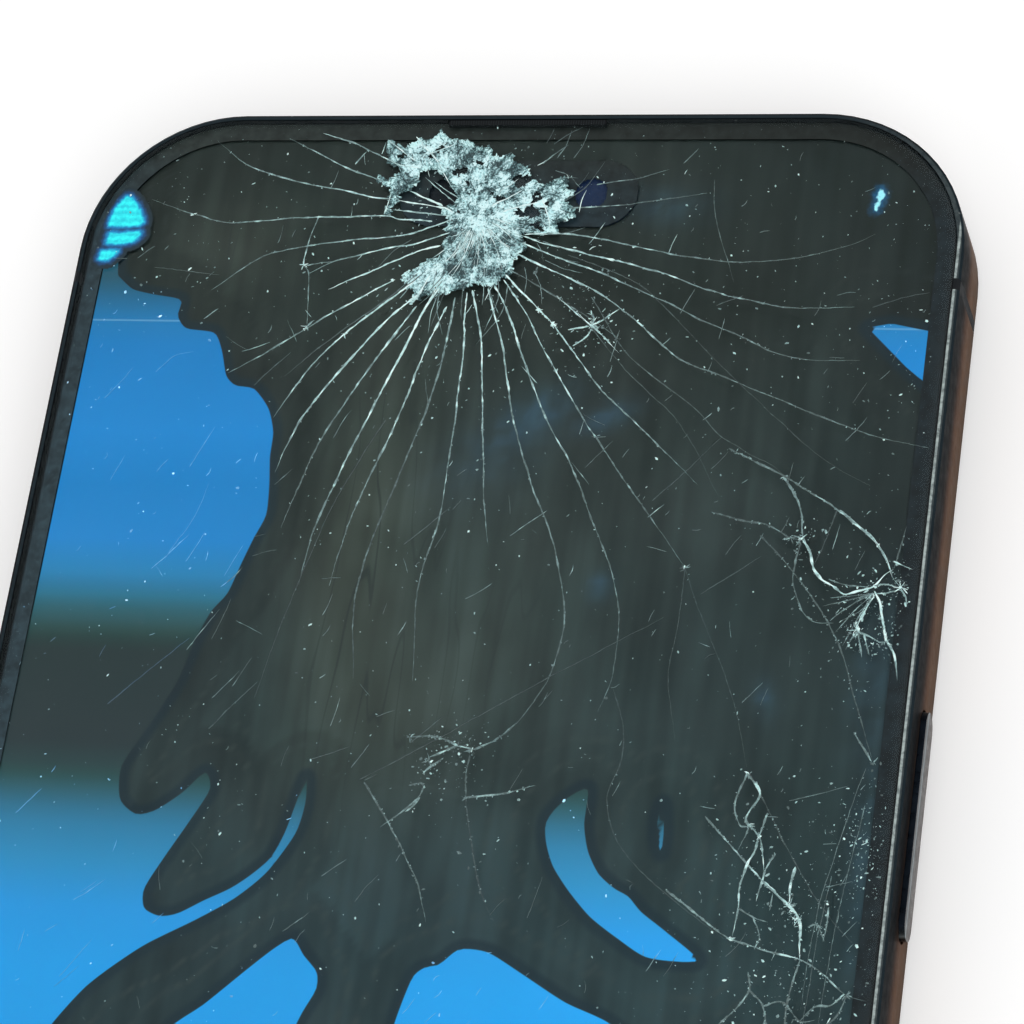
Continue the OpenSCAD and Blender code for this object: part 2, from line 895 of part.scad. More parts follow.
// Small screw from below, its head under a board's face
module board_screw(p, face) {
  translate([p[0], p[1], face - 0.5])
    difference() {
      union() {
        cylinder(r = 0.9, h = 0.5);
        cylinder(r = 0.4, h = z_mid_top - 0.4 - face + 0.5);
      }
      translate([-0.7, -0.12, -eps])
        cube([1.4, 0.24, 0.25]);
      translate([-0.12, -0.7, -eps])
        cube([0.24, 1.4, 0.25]);
    }
}

module board_screws() {
  color("#c8ccd0") {
    for (p = SCREWS)
      board_screw(p, board_low);
    for (p = CHARGE_SCREWS)
      board_screw(p, z_hang - charge_board_t);
  }
}

module case_screws() {
  color("#6b5a4c")
    for (s = [-1, 1])
      translate([s * screw_x, -body_l / 2 + 0.25, port_z])
        rotate([-90, 0, 0])
          difference() {
            union() {
              cylinder(r = screw_head_r, h = 0.8);
              cylinder(r = screw_r, h = 4);
            }
            for (a = [0, 60, 120])
              rotate([0, 0, a])
                translate([-0.6, -0.15, -eps])
                  cube([1.2, 0.3, 0.5]);
          }
}

side_band();
antenna_break(1, 1);  // antenna_break_right_top
antenna_break(1, -1);  // antenna_break_right_bottom
antenna_break(-1, 1);  // antenna_break_left_top
antenna_break(-1, -1);  // antenna_break_left_bottom
mid_plate();
front_glass();
crushed_glass_chips();
optical_adhesive();
display_panel();
display_support_plate();
display_flex();
front_gasket();
rear_glass();
rear_gasket();
camera_island();
lens_ring(LENSES[0]);  // lens_ring_low
lens_ring(LENSES[1]);  // lens_ring_middle
lens_ring(LENSES[2]);  // lens_ring_high
lens_glass(LENSES[0]);  // lens_glass_low
lens_glass(LENSES[1]);  // lens_glass_middle
lens_glass(LENSES[2]);  // lens_glass_high
rear_camera(LENSES[0]);  // rear_camera_low
rear_camera(LENSES[1]);  // rear_camera_middle
rear_camera(LENSES[2]);  // rear_camera_high
flash_window();
flash_module();
front_camera();
face_sensor();
earpiece_speaker();
earpiece_mesh();
battery();
battery_adhesive();
main_board();
shield_can_left();
shield_can_right();
processor();
storage_chip();
modem_chip();
power_chip();
board_flex();
charging_board();
port_shell();
port_tongue();
bottom_speaker();
bottom_microphone();
haptic_motor();
wireless_coil();
ferrite_sheet();
card_tray();
card();
card_reader();
power_button();
volume_up_button();
volume_down_button();
action_button();
right_switch();
left_switches();
board_screws();
case_screws();
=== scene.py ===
# %% [markdown]
# # A phone with a shattered screen
# This lesson dresses a finished solid model of a broken phone. The solids carry the sizes and the
# moving buttons, so nothing here moves or resizes them. What is added is what a damaged screen is
# known for: a dead display with islands that still glow, a crushed crater, long cracks and dust.
# The first cell loads the solids. Everything after it takes its place from them.

# %% Load the solid model
import math

import bpy
import numpy as np
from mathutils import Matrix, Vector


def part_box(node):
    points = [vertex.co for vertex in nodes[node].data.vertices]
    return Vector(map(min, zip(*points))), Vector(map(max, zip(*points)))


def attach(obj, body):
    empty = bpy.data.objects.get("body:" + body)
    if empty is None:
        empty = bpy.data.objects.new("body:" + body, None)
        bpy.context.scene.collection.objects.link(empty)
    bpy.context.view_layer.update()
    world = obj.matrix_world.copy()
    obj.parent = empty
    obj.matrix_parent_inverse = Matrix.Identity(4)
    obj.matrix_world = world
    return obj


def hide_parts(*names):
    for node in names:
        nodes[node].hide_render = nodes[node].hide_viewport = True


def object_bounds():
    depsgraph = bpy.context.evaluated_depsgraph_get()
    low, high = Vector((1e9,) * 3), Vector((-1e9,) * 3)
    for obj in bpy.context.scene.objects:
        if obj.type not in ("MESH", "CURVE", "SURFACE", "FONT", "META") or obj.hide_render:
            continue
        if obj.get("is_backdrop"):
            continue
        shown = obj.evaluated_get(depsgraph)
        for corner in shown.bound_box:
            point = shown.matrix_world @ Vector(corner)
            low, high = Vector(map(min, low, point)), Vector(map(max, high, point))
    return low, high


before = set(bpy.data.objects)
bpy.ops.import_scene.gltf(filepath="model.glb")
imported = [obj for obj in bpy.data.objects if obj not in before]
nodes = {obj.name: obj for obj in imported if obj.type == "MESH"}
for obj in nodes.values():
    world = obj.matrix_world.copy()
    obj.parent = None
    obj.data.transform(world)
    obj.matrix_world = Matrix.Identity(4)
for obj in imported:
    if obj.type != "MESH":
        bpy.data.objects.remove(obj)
cad_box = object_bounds()
print("solids loaded:", len(nodes))

# %% [markdown]
# ## Places and sizes
# Blender works in metres, but a phone is easier to think about in millimetres, so every shape
# below is worked out in millimetres and scaled once, when its mesh is made. A small helper reads
# the box of a solid in millimetres, and the heights of the layers follow from those boxes: the
# top of the glass, its underside and the top of the display.

# %% Read the places from the solids
MM = 0.001


def box_mm(name):
    """The lowest and highest corner of a solid, in millimetres."""
    low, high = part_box(name)
    return np.array(low) / MM, np.array(high) / MM


body_low, body_high = box_mm("side_band")
glass_low, glass_high = box_mm("front_glass")
panel_low, panel_high = box_mm("display_panel")
mesh_low = box_mm("earpiece_mesh")[0]
half_w, half_l = body_high[0], body_high[1]
z_front = glass_high[2]
z_under = glass_low[2]
z_panel = panel_high[2]
CORNER_R = 13
print("glass from", z_under, "to", z_front, "display top", z_panel)

# %% [markdown]
# ## Camera
# The phone lies on its back and is seen from above, a little from its right side and from its
# lower end, with a long lens that flattens perspective. Only its upper part fills the frame. The
# camera comes first, because every later choice is judged through it.

# %% Camera
CAMERA_LENS = 140.1
CAMERA_X, CAMERA_Y, CAMERA_ABOVE_GLASS = 0.0962, -0.0835, 0.2798
CAMERA_TURN = (0.447, 0.254, 0.147)
camera_data = bpy.data.cameras.new("studio_camera")
camera_data.sensor_width = 36
camera_data.lens = CAMERA_LENS
camera_data.clip_start = 0.01
camera_data.clip_end = 10
camera = bpy.data.objects.new("studio_camera", camera_data)
camera.location = (CAMERA_X, CAMERA_Y, z_front * MM + CAMERA_ABOVE_GLASS)
camera.rotation_euler = CAMERA_TURN
bpy.context.scene.collection.objects.link(camera)
bpy.context.scene.camera = camera
print("camera at", tuple(round(c, 4) for c in camera.location))

# %% [markdown]
# ## Helpers for finishes
# A finish is a node material. Writing out every node and link by hand hides the idea, so a small
# class keeps one material and offers short words for the nodes used again and again: a noise of a
# given size, a blend of two colours, a bump. Patterns read Object coordinates, which on these
# pieces are places on the phone, and they are scaled to millimetres so that a size of 0.2 means
# fifth-of-a-millimetre grain.

# %% A small class for node materials
def fill(tree, socket, value):
    """Puts a number or colour in a socket, or links another node's output to it."""
    if isinstance(value, bpy.types.NodeSocket):
        tree.links.new(value, socket)
    elif isinstance(value, tuple) and socket.type == "RGBA":
        socket.default_value = (*value, 1)
    else:
        socket.default_value = value


class Finish:
    """A material with one Principled shader, and short ways to add the nodes that feed it."""

    def __init__(self, name, sockets):
        self.material = bpy.data.materials.new(name)
        self.material.use_nodes = True
        self.tree = self.material.node_tree
        self.shader = self.tree.nodes["Principled BSDF"]
        self.output = self.tree.nodes["Material Output"]
        for socket, value in sockets.items():
            self.feed(socket, value)

    def feed(self, socket, value):
        """Fills one socket of the shader."""
        fill(self.tree, self.shader.inputs[socket], value)

    def add(self, kind, sockets, **settings):
        """Adds a node, sets its settings and fills its sockets."""
        node = self.tree.nodes.new("ShaderNode" + kind)
        for setting, value in settings.items():
            setattr(node, setting, value)
        for socket, value in sockets.items():
            fill(self.tree, node.inputs[socket], value)
        return node

    def place(self, stretch=(1, 1, 1)):
        """Where a point lies on the phone, in millimetres, with each axis multiplied by stretch."""
        spot = self.add("TexCoord", {}).outputs["Object"]
        scale = tuple(s / MM for s in stretch)
        return self.add("VectorMath", {0: spot, 1: scale}, operation="MULTIPLY").outputs[0]

    def axis(self, letter):
        """One coordinate of the place, in millimetres."""
        return self.add("SeparateXYZ", {0: self.place()}).outputs[letter]

    def noise(self, size, detail=2.0, roughness=0.5, stretch=(1, 1, 1)):
        """Soft random clouds of a given size in millimetres."""
        sockets = {"Vector": self.place(stretch), "Scale": 1 / size, "Detail": detail}
        node = self.add("TexNoise", sockets)
        node.inputs["Roughness"].default_value = roughness
        return node.outputs[0]

    def cells(self, size, feature="F1"):
        """Distance to the nearest of many scattered points, a given size apart in millimetres."""
        sockets = {"Vector": self.place(), "Scale": 1 / size}
        return self.add("TexVoronoi", sockets, feature=feature).outputs["Distance"]

    def attribute(self, name):
        """A number stored on the mesh's points."""
        return self.add("Attribute", {}, attribute_name=name).outputs["Fac"]

    def math(self, operation, a, b=0.0):
        """One sum on two numbers."""
        return self.add("Math", {0: a, 1: b}, operation=operation).outputs[0]

    def remap(self, value, start, end, low=0.0, high=1.0):
        """Turns a value between start and end into one between low and high, held there."""
        sockets = {"Value": value, "From Min": start, "From Max": end,
                   "To Min": low, "To Max": high}
        return self.add("MapRange", sockets).outputs[0]

    def clouds(self, low, high, size, detail=2.0, roughness=0.5, stretch=(1, 1, 1)):
        """Soft clouds again, from low where they are thin to high where they are thick."""
        return self.remap(self.noise(size, detail, roughness, stretch), 0.3, 0.7, low, high)

    def waves(self, along, period):
        """Ridges at even steps along a number: |sin(pi along / period)|."""
        turns = self.math("MULTIPLY", along, math.pi / period)
        return self.math("ABSOLUTE", self.math("SINE", turns))

    def scale(self, colour, factor):
        """Makes a colour darker or lighter by a factor."""
        return self.add("VectorMath", {0: colour, "Scale": factor}, operation="SCALE").outputs[0]

    def blend(self, factor, a, b):
        """Mixes two colours."""
        return self.add("Mix", {0: factor, 6: a, 7: b}, data_type="RGBA").outputs[2]

    def ramp(self, factor, stops):
        """Colours at places along 0 to 1, blended between."""
        node = self.add("ValToRGB", {0: factor})
        elements = node.color_ramp.elements
        while len(elements) < len(stops):
            elements.new(1.0)
        for element, (position, colour) in zip(elements, stops):
            element.position = position
            element.color = (*colour, 1)
        return node.outputs[0]

    def bump(self, height, distance, strength=1.0):
        """Tilts the shading by a height, in units of distance millimetres."""
        sockets = {"Height": height, "Distance": distance * MM, "Strength": strength}
        self.feed("Normal", self.add("Bump", sockets).outputs[0])


print("finish helpers ready")

# %% [markdown]
# ## Helpers for shapes
# New pieces are surfaces worked out as whole arrays. Three ideas cover nearly all of them: a sheet
# whose rows follow the phone's rounded outline, a slab that closes such a sheet with a back and a
# wall round every edge, and a distance that decides which cells of a sheet to keep. Each helper
# works on all points at once.

# %% Meshes from arrays
def make_piece(name, points, faces, material, body="phone"):
    """Builds a mesh object from points in millimetres and lists of corners, and seats it."""
    mesh = bpy.data.meshes.new(name)
    mesh.from_pydata((np.asarray(points) * MM).tolist(), [], [list(f) for f in faces])
    mesh.validate()
    mesh.materials.append(material)
    piece = bpy.data.objects.new(name, mesh)
    bpy.context.scene.collection.objects.link(piece)
    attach(piece, body)
    print(name, "points", len(mesh.vertices), "faces", len(mesh.polygons))
    return piece


def store(piece, name, values):
    """Stores one number on each point, for a finish to read."""
    layer = piece.data.attributes.new(name, "FLOAT", "POINT")
    layer.data.foreach_set("value", np.asarray(values, dtype=np.float32))


def store_sheet(piece, name, values, used):
    """Stores a sheet's numbers on the slab made from it: the same on its top and its underside."""
    store(piece, name, values.ravel()[used % values.size])


# %% The phone's rounded outline
def half_width(y, w, l, r):
    """Half the width at y of a rounded rectangle of half sizes w and l and corner radius r.

    Past the straight side, the width shrinks as a circle does: w - r + sqrt(r^2 - past^2).
    """
    past = np.clip(np.abs(y) - (l - r), 0, r)
    return w - r + np.sqrt(r * r - past * past)


def edge_distance(x, y, w, l, r):
    """How far a point lies inside a rounded rectangle: r less its distance from the inner box."""
    px = np.abs(x) - (w - r)
    py = np.abs(y) - (l - r)
    outside = np.hypot(np.maximum(px, 0), np.maximum(py, 0))
    return r - outside - np.minimum(np.maximum(px, py), 0)


def end_rows(l, r, count):
    """Rows in the rounded end, at equal angles round the corner: y = l - r + r sin(angle)."""
    return l - r + r * np.sin(np.linspace(0, math.pi / 2, count))


# %% Sheets, slabs and walls
def block_sheet(rows, outer, inner, side_cells, middle_cells, margins=()):
    """A grid of points in three blocks of columns: left, middle and right.

    In every row, the middle block spans -inner to inner and the side blocks reach out to outer.
    Margins add columns that follow the outer edge at those distances.
    """
    t = np.linspace(0, 1, side_cells + 1)[None, :]
    out = outer[:, None]
    near = inner[:, None]
    last = margins[-1] if margins else 0
    right = near + (out - last - near) * t
    if margins:
        right = np.hstack([right] + [out - m for m in reversed(margins[:-1])])
    middle = near * np.linspace(-1, 1, middle_cells + 1)[None, 1:-1]
    x = np.hstack([-right[:, ::-1], middle, right])
    y = np.repeat(rows[:, None], x.shape[1], axis=1)
    return x, y


def grid_faces(count_rows, count_columns):
    """The corners of each cell of a grid, anticlockwise seen from above, row by row."""
    index = np.arange(count_rows * count_columns).reshape(count_rows, count_columns)
    corners = (index[:-1, :-1], index[:-1, 1:], index[1:, 1:], index[1:, :-1])
    return np.stack(corners, axis=-1)


def close_slab(x, y, top, bottom, keep):
    """Closes a sheet into a slab: the kept cells, the same cells below, and walls between.

    A wall stands on every edge that only one kept cell uses.
    """
    faces = grid_faces(*x.shape)[keep]
    count = x.size
    ends = np.roll(faces, -1, axis=1)
    edges = np.stack([faces, ends], axis=-1).reshape(-1, 2)
    key = np.sort(edges, axis=1)
    key = key[:, 0] * count + key[:, 1]
    _, first, times = np.unique(key, return_index=True, return_counts=True)
    border = edges[first[times == 1]]
    walls = np.hstack([border[:, ::-1], border + count])
    points = np.concatenate([np.stack([x, y, np.broadcast_to(z, x.shape)], axis=-1).reshape(-1, 3)
                             for z in (top, bottom)])
    corners = np.concatenate([faces, faces[:, ::-1] + count, walls])
    used, compact = np.unique(corners, return_inverse=True)
    return points[used], compact.reshape(corners.shape), used


def cut_slab(x, y, top, bottom, depth):
    """A slab of those cells of a sheet whose four corners all lie inside, at a depth above 0."""
    keep = depth.ravel()[grid_faces(*x.shape)].min(axis=-1) > 0
    return close_slab(x, y, top, bottom, keep)


# %% [markdown]
# ## Randomness that repeats
# Breakage looks random, but a script has to give the same phone on every run. Every random choice
# comes from a generator with a fixed seed. The soft noise is the classic kind: random numbers on a
# lattice, blended between lattice points with a smooth step.

# %% Seeded noise
def smooth_step(value):
    """Eases from 0 to 1: 3 v^2 - 2 v^3, held outside."""
    v = np.clip(value, 0, 1)
    return v * v * (3 - 2 * v)


def lattice_noise(x, y, size, seed):
    """Value noise between 0 and 1: lattice numbers blended by smooth steps in both directions."""
    table = np.random.default_rng(seed).random((256, 256))
    u, v = np.asarray(x) / size, np.asarray(y) / size
    cell_u, cell_v = np.floor(u).astype(int), np.floor(v).astype(int)
    fu, fv = smooth_step(u - cell_u), smooth_step(v - cell_v)
    a = table[cell_u % 256, cell_v % 256]
    b = table[(cell_u + 1) % 256, cell_v % 256]
    c = table[cell_u % 256, (cell_v + 1) % 256]
    d = table[(cell_u + 1) % 256, (cell_v + 1) % 256]
    return (a * (1 - fu) + b * fu) * (1 - fv) + (c * (1 - fu) + d * fu) * fv


def smooth_line(points, closed=False, steps=8, pull=0.5):
    """A curve through the points. Each span is a cubic whose slope at a point is pull times the
    step from the point before to the point after, so a small pull leaves sharper corners."""
    p = np.asarray(points, dtype=float)
    if closed:
        p = np.vstack([p[-1:], p, p[:2]])
    else:
        p = np.vstack([2 * p[0] - p[1], p, 2 * p[-1] - p[-2]])
    t = np.linspace(0, 1, steps, endpoint=False)[None, :, None]
    a, b, c, d = p[:-3, None], p[1:-2, None], p[2:-1, None], p[3:, None]
    curve = (b * (2 * t ** 3 - 3 * t ** 2 + 1) + c * (3 * t ** 2 - 2 * t ** 3)
             + pull * (c - a) * (t ** 3 - 2 * t ** 2 + t) + pull * (d - b) * (t ** 3 - t ** 2))
    curve = curve.reshape(-1, 2)
    return curve if closed else np.vstack([curve, p[-2:-1]])


def inside_distance(x, y, outline):
    """How far each point lies inside a closed outline, negative outside.

    The distance is to the nearest segment. The sign comes from counting the segments that a ray
    towards +X crosses.
    """
    x, y = np.asarray(x, dtype=float), np.asarray(y, dtype=float)
    nearest = np.full(x.shape, np.inf)
    inside = np.zeros(x.shape, dtype=bool)
    for (ax, ay), (bx, by) in zip(outline, np.roll(outline, -1, axis=0)):
        dx, dy = bx - ax, by - ay
        t = np.clip(((x - ax) * dx + (y - ay) * dy) / (dx * dx + dy * dy + 1e-12), 0, 1)
        nearest = np.minimum(nearest, np.hypot(x - ax - t * dx, y - ay - t * dy))
        crosses = (ay > y) != (by > y)
        ahead = x < ax + (y - ay) * dx / (dy if abs(dy) > 1e-12 else 1e-12)
        inside ^= crosses & ahead
    return np.where(inside, nearest, -nearest)


print("shape helpers ready")

# %% [markdown]
# ## Where the display still glows
# A crushed display leaks: dark patches spread out of the impact like ink, with round fingers and
# sharp tips, and what they have not reached still shows the picture. Each glowing island is drawn
# as a few points, in millimetres from the middle of the phone, joined by a smooth curve. The far
# lower end of the screen glows all over, as it lies beyond the damage.

# %% Outlines of the glowing islands
LIT_LEFT = [
    (-36.4, 66), (-34.6, 64.6), (-33, 63.3), (-31, 62.8), (-28.4, 62.3), (-28.4, 60.8),
    (-27.4, 59.6), (-24.8, 59.2), (-23.8, 57.5), (-23, 55.2), (-22, 54.3), (-20.3, 54),
    (-18.7, 52.2), (-17.9, 50), (-17.8, 47.8), (-17.4, 45.2), (-17.2, 42.5), (-17.9, 40.4),
    (-18.6, 38), (-19.3, 35.4), (-20.4, 33.8), (-21.4, 31), (-22.2, 27.5), (-24, 23.5),
    (-25.6, 20), (-25.2, 17.2), (-23.6, 16), (-22, 16.4), (-20, 18), (-18.4, 19.8),
    (-17.7, 18.4), (-19, 15.5), (-20.5, 12.5), (-21.7, 9.8), (-21.4, 8.2), (-20, 7.6),
    (-18.5, 7.9), (-16.5, 9.1), (-14.5, 10.2), (-13, 11.4), (-11.6, 12.9), (-10.8, 15),
    (-10.3, 17.5), (-9.8, 19.8), (-9.5, 17.6), (-9.9, 15), (-11.7, 11.7), (-14, 9.4),
    (-17, 7.4), (-21, 5), (-25, 1.5), (-28, -3), (-29.8, -8), (-28.8, -12.2), (-25.8, -13.4),
    (-22.8, -11), (-19.5, -8.5), (-14, -10), (-9.6, -10.4), (-8.9, -14), (-6.4, -17.6),
    (-3.2, -18.2), (-0.8, -15), (0.8, -10.5), (6, -9), (14, -8.5), (20, -9), (24.2, -13),
    (26.2, -18.8), (29.6, -22.4), (33.4, -21.6), (36.4, -17), (36.4, -78), (-36.4, -78)]
LIT_LOWER_LEFT = [
    (-20.5, -6), (-17.5, -1.5), (-15, 0.6), (-12, 3.6), (-10, 5.5), (-8.6, 6.4), (-7.5, 5.1),
    (-6.2, 3.8), (-6, 2.4), (-6.8, 0.5), (-7.6, -2), (-9, -7), (-9.6, -12), (-12, -15), (-17, -15),
    (-21, -12), (-21.8, -9)]
LIT_LOWER_MIDDLE = [
    (0.2, -4), (0.8, 0.4), (1.6, 3.8), (2.5, 4.7), (3.6, 5), (5, 6.3), (7.3, 6.2), (10, 4.8),
    (14, 2.6), (18, 1), (22.6, -3), (24.2, -9), (24, -14), (17, -16), (8, -15), (1, -12),
    (0.4, -8)]
LIT_CRESCENT = [
    (13.4, 19.9), (12, 19.2), (10.9, 18), (10.4, 16.8), (10.7, 15.2), (11.5, 13.4), (13, 11.5),
    (15, 9.5), (17.4, 7.9), (20, 6.5), (23.9, 6.5), (21.2, 8.6), (19, 10.1), (17.8, 11.3),
    (16.6, 11.9), (15.2, 13), (14.1, 14.8), (13.5, 17)]
LIT_SLIVER = [(19.5, 19), (19.3, 17.6), (19.5, 16), (19.9, 15), (19.9, 16.6), (19.7, 18)]
LIT_TRIANGLE = [(31.1, 60.4), (33, 60.8), (36.4, 60.1), (36.4, 55.4), (34.6, 56.9), (32.6, 58.9)]
SHARP_ISLANDS = [LIT_TRIANGLE]
SMOOTH_ISLANDS = [LIT_LEFT, LIT_LOWER_LEFT, LIT_LOWER_MIDDLE, LIT_CRESCENT, LIT_SLIVER]
CYAN_LOBES = [
    [(-36.3, 69.3), (-36.1, 70.8), (-35.2, 72.2), (-34.5, 71.9), (-33.6, 70.8), (-33.1, 69.7),
     (-33.4, 69.3), (-35, 69.2)],
    [(-36.2, 67.6), (-36.1, 68.6), (-35.2, 68.6), (-33.4, 68.8), (-33.1, 68.4), (-33.8, 67.7),
     (-34.9, 67.5), (-35.7, 67.5)],
    [(-36.6, 66.1), (-36.5, 66.8), (-35.8, 66.9), (-34.9, 66.9), (-35.1, 66.5), (-35.6, 66),
     (-36.2, 65.9)],
    [(30.5, 72.3), (30.6, 73), (30.9, 73.2), (31.2, 72.9), (31.2, 72.3), (31, 72), (30.7, 72)],
    [(30.4, 71.4), (30.6, 71.7), (30.9, 71.6), (30.8, 71.2), (30.5, 71)]]
print("islands:", len(SHARP_ISLANDS) + len(SMOOTH_ISLANDS), "cyan lobes:", len(CYAN_LOBES))

# %% [markdown]
# ## The display panel
# The display is one thin slab with a pill-shaped window for the cameras. Its sheet of points has
# three blocks of columns, so that the middle block can be left out between the rows of the
# window. Inside the window's rows the inner edge follows the pill's round ends. The rows are
# close where the damage is and wide apart at the plain lower end. Each point stores how far it
# lies inside an island, and the finish turns that distance into a crisp edge, which no grid of
# colours could give.

# %% The display's sheet of points
PANEL_R = CORNER_R - (half_w - panel_high[0])
PILL_HALF_H = 3.1
PILL_FLAT = 7.3
PILL_FROM_END = 7.4
LAYER_GAP = 0.015
LIT_INSET = 2.25
PANEL_SIDE_CELLS, PANEL_MIDDLE_CELLS = 60, 30
DAMAGE_END_Y = -4
pill_y = half_l - PILL_FROM_END
panel_w, panel_l = panel_high[0], panel_high[1]


def pill_inner(y):
    """Half the window's width at y: its flat part plus a circle's half-chord."""
    rise = np.clip(PILL_HALF_H ** 2 - (y - pill_y) ** 2, 0, None)
    return PILL_FLAT + np.sqrt(rise)


pill_rows = pill_y + PILL_HALF_H * np.sin(np.linspace(-math.pi / 2, math.pi / 2, 17))
fine_rows = np.arange(DAMAGE_END_Y, panel_l - PANEL_R, 0.5)
round_rows = end_rows(panel_l, PANEL_R, 30)
round_rows = round_rows[np.abs(round_rows - pill_y) > PILL_HALF_H + 0.05]
plain_rows = np.arange(-panel_l + PANEL_R + 1, DAMAGE_END_Y, 1.5)
rows = np.sort(np.concatenate([-end_rows(panel_l, PANEL_R, 14), plain_rows, fine_rows,
                               round_rows, pill_rows]))
rows = rows[np.insert(np.diff(rows) > 0.01, 0, True)]
panel_x, panel_y = block_sheet(rows, half_width(rows, panel_w, panel_l, PANEL_R),
                               pill_inner(rows), PANEL_SIDE_CELLS, PANEL_MIDDLE_CELLS)
print("display rows and columns:", panel_x.shape)

# %% Leave the window out and close the slab
in_window = np.abs((rows[:-1] + rows[1:]) / 2 - pill_y) < PILL_HALF_H
keep = np.ones((rows.size - 1, panel_x.shape[1] - 1), dtype=bool)
middle_cells = np.arange(PANEL_SIDE_CELLS, PANEL_SIDE_CELLS + PANEL_MIDDLE_CELLS)
keep[np.ix_(in_window, middle_cells)] = False
panel_points, panel_faces, _ = close_slab(panel_x, panel_y, z_panel - LAYER_GAP, panel_low[2],
                                          keep)
print("display points:", len(panel_points))

# %% How far each point lies inside an island
at_x, at_y = panel_points[:, 0], panel_points[:, 1]
islands = [np.asarray(o, dtype=float) for o in SHARP_ISLANDS]
islands += [smooth_line(o, closed=True, steps=5, pull=0.36) for o in SMOOTH_ISLANDS]
lit = np.max([inside_distance(at_x, at_y, o) for o in islands], axis=0)
cyan_lobes = [smooth_line(o, closed=True, steps=5, pull=0.3) for o in CYAN_LOBES]
cyan = np.max([inside_distance(at_x, at_y, o) for o in cyan_lobes], axis=0)
frame_in = edge_distance(at_x, at_y, half_w - LIT_INSET, half_l - LIT_INSET, CORNER_R - LIT_INSET)
print("deepest lit point, mm:", round(float(lit.max()), 1))

# %% [markdown]
# ## Stains in the dead display
# The dead part is not one black. Where the layers have parted it shows a pale greenish column,
# small bluish smudges and thin flow lines that follow the islands' outlines. Each smudge is a
# soft spot, highest in its middle and falling off as a bell curve does, stretched and turned.

# %% Stains
PALE_SPOTS = [(-9, 42, 5.5, 17, 0, 1.0), (-4, 25, 7, 8, 0, 0.5), (4, 34, 9, 12, 0, 0.35),
              (-24, 68, 6, 4, 10, 0.5), (20, 46, 9, 9, 0, 0.15)]
BLUE_SPOTS = [(4.5, 52, 3.4, 1.6, 35, 1.0), (10.5, 52, 2.4, 1.1, 25, 0.9),
              (12, 37, 0.9, 1.1, 0, 0.8), (26.5, 28, 0.8, 1.6, 20, 0.7), (1, 48, 5, 3, 30, 0.3),
              (8, 72.5, 1.7, 1.2, 0, 0.8), (12.5, 71.5, 4, 1.6, 0, 0.35),
              (36, 15, 1.6, 9, 0, 0.55), (35, 31, 2, 7, 0, 0.4)]


def soft_spots(x, y, spots):
    """The sum of bell-shaped spots: height e^-(u^2 + v^2), in each spot's own turned axes."""
    total = np.zeros(x.shape)
    for cx, cy, wide, tall, turn, height in spots:
        c, s = math.cos(math.radians(turn)), math.sin(math.radians(turn))
        u = ((x - cx) * c + (y - cy) * s) / wide
        v = ((y - cy) * c - (x - cx) * s) / tall
        total += height * np.exp(-u * u - v * v)
    return total


pale = soft_spots(at_x, at_y, PALE_SPOTS)
blue = soft_spots(at_x, at_y, BLUE_SPOTS) * (0.4 + 1.2 * lattice_noise(at_x, at_y, 0.8, 31))
print("stains:", len(PALE_SPOTS) + len(BLUE_SPOTS))

# %% [markdown]
# ## Finish of the display
# The finish has three layers. The dead display is a very dark teal, a little greener at the top
# and bluer below, lightened by the stains. The picture is light, so it goes in as emission: a
# ramp of colours up the screen, because the picture dims into a dark band and comes back. The
# stored distance then decides where each shows: past 0 mm is the picture, and a navy rim of about
# one millimetre runs round every island, where the leaked crystal is thickest. The small cyan
# lobes are rows of pixels stuck fully on: striped, with ragged edges and a soft blue halo.

# %% Display finish
SCREEN_END_Y = 80
PICTURE = [
    (-80, (0.018, 0.353, 0.849)), (3, (0.017, 0.323, 0.789)), (8, (0.021, 0.295, 0.72)),
    (12, (0.027, 0.248, 0.505)), (15, (0.029, 0.195, 0.366)), (18, (0.028, 0.104, 0.137)),
    (19, (0.023, 0.07, 0.074)), (20, (0.024, 0.053, 0.059)), (22, (0.023, 0.037, 0.043)),
    (30, (0.021, 0.036, 0.039)), (31, (0.019, 0.043, 0.043)), (32, (0.025, 0.068, 0.07)),
    (33, (0.028, 0.095, 0.115)), (34, (0.027, 0.12, 0.164)), (35, (0.024, 0.161, 0.265)),
    (36, (0.024, 0.181, 0.356)), (37, (0.023, 0.217, 0.464)), (40, (0.016, 0.225, 0.594)),
    (45, (0.01, 0.21, 0.565)), (50, (0.013, 0.232, 0.628)), (58, (0.011, 0.199, 0.536)),
    (60.2, (0.015, 0.188, 0.459)), (61.6, (0.016, 0.155, 0.345)), (63, (0.018, 0.122, 0.235)),
    (64.4, (0.020, 0.093, 0.148)), (66.5, (0.020, 0.085, 0.12)), (80, (0.012, 0.03, 0.039))]
DEAD = [
    (-80, (0.032, 0.055, 0.067)), (8, (0.032, 0.057, 0.068)), (20, (0.033, 0.051, 0.056)),
    (45, (0.031, 0.043, 0.045)), (62, (0.026, 0.034, 0.032)), (80, (0.019, 0.026, 0.025))]


def up_the_screen(stops):
    """Places a list of colours at heights in millimetres on a ramp from 0 to 1."""
    return [((y + SCREEN_END_Y) / (2 * SCREEN_END_Y), colour) for y, colour in stops]


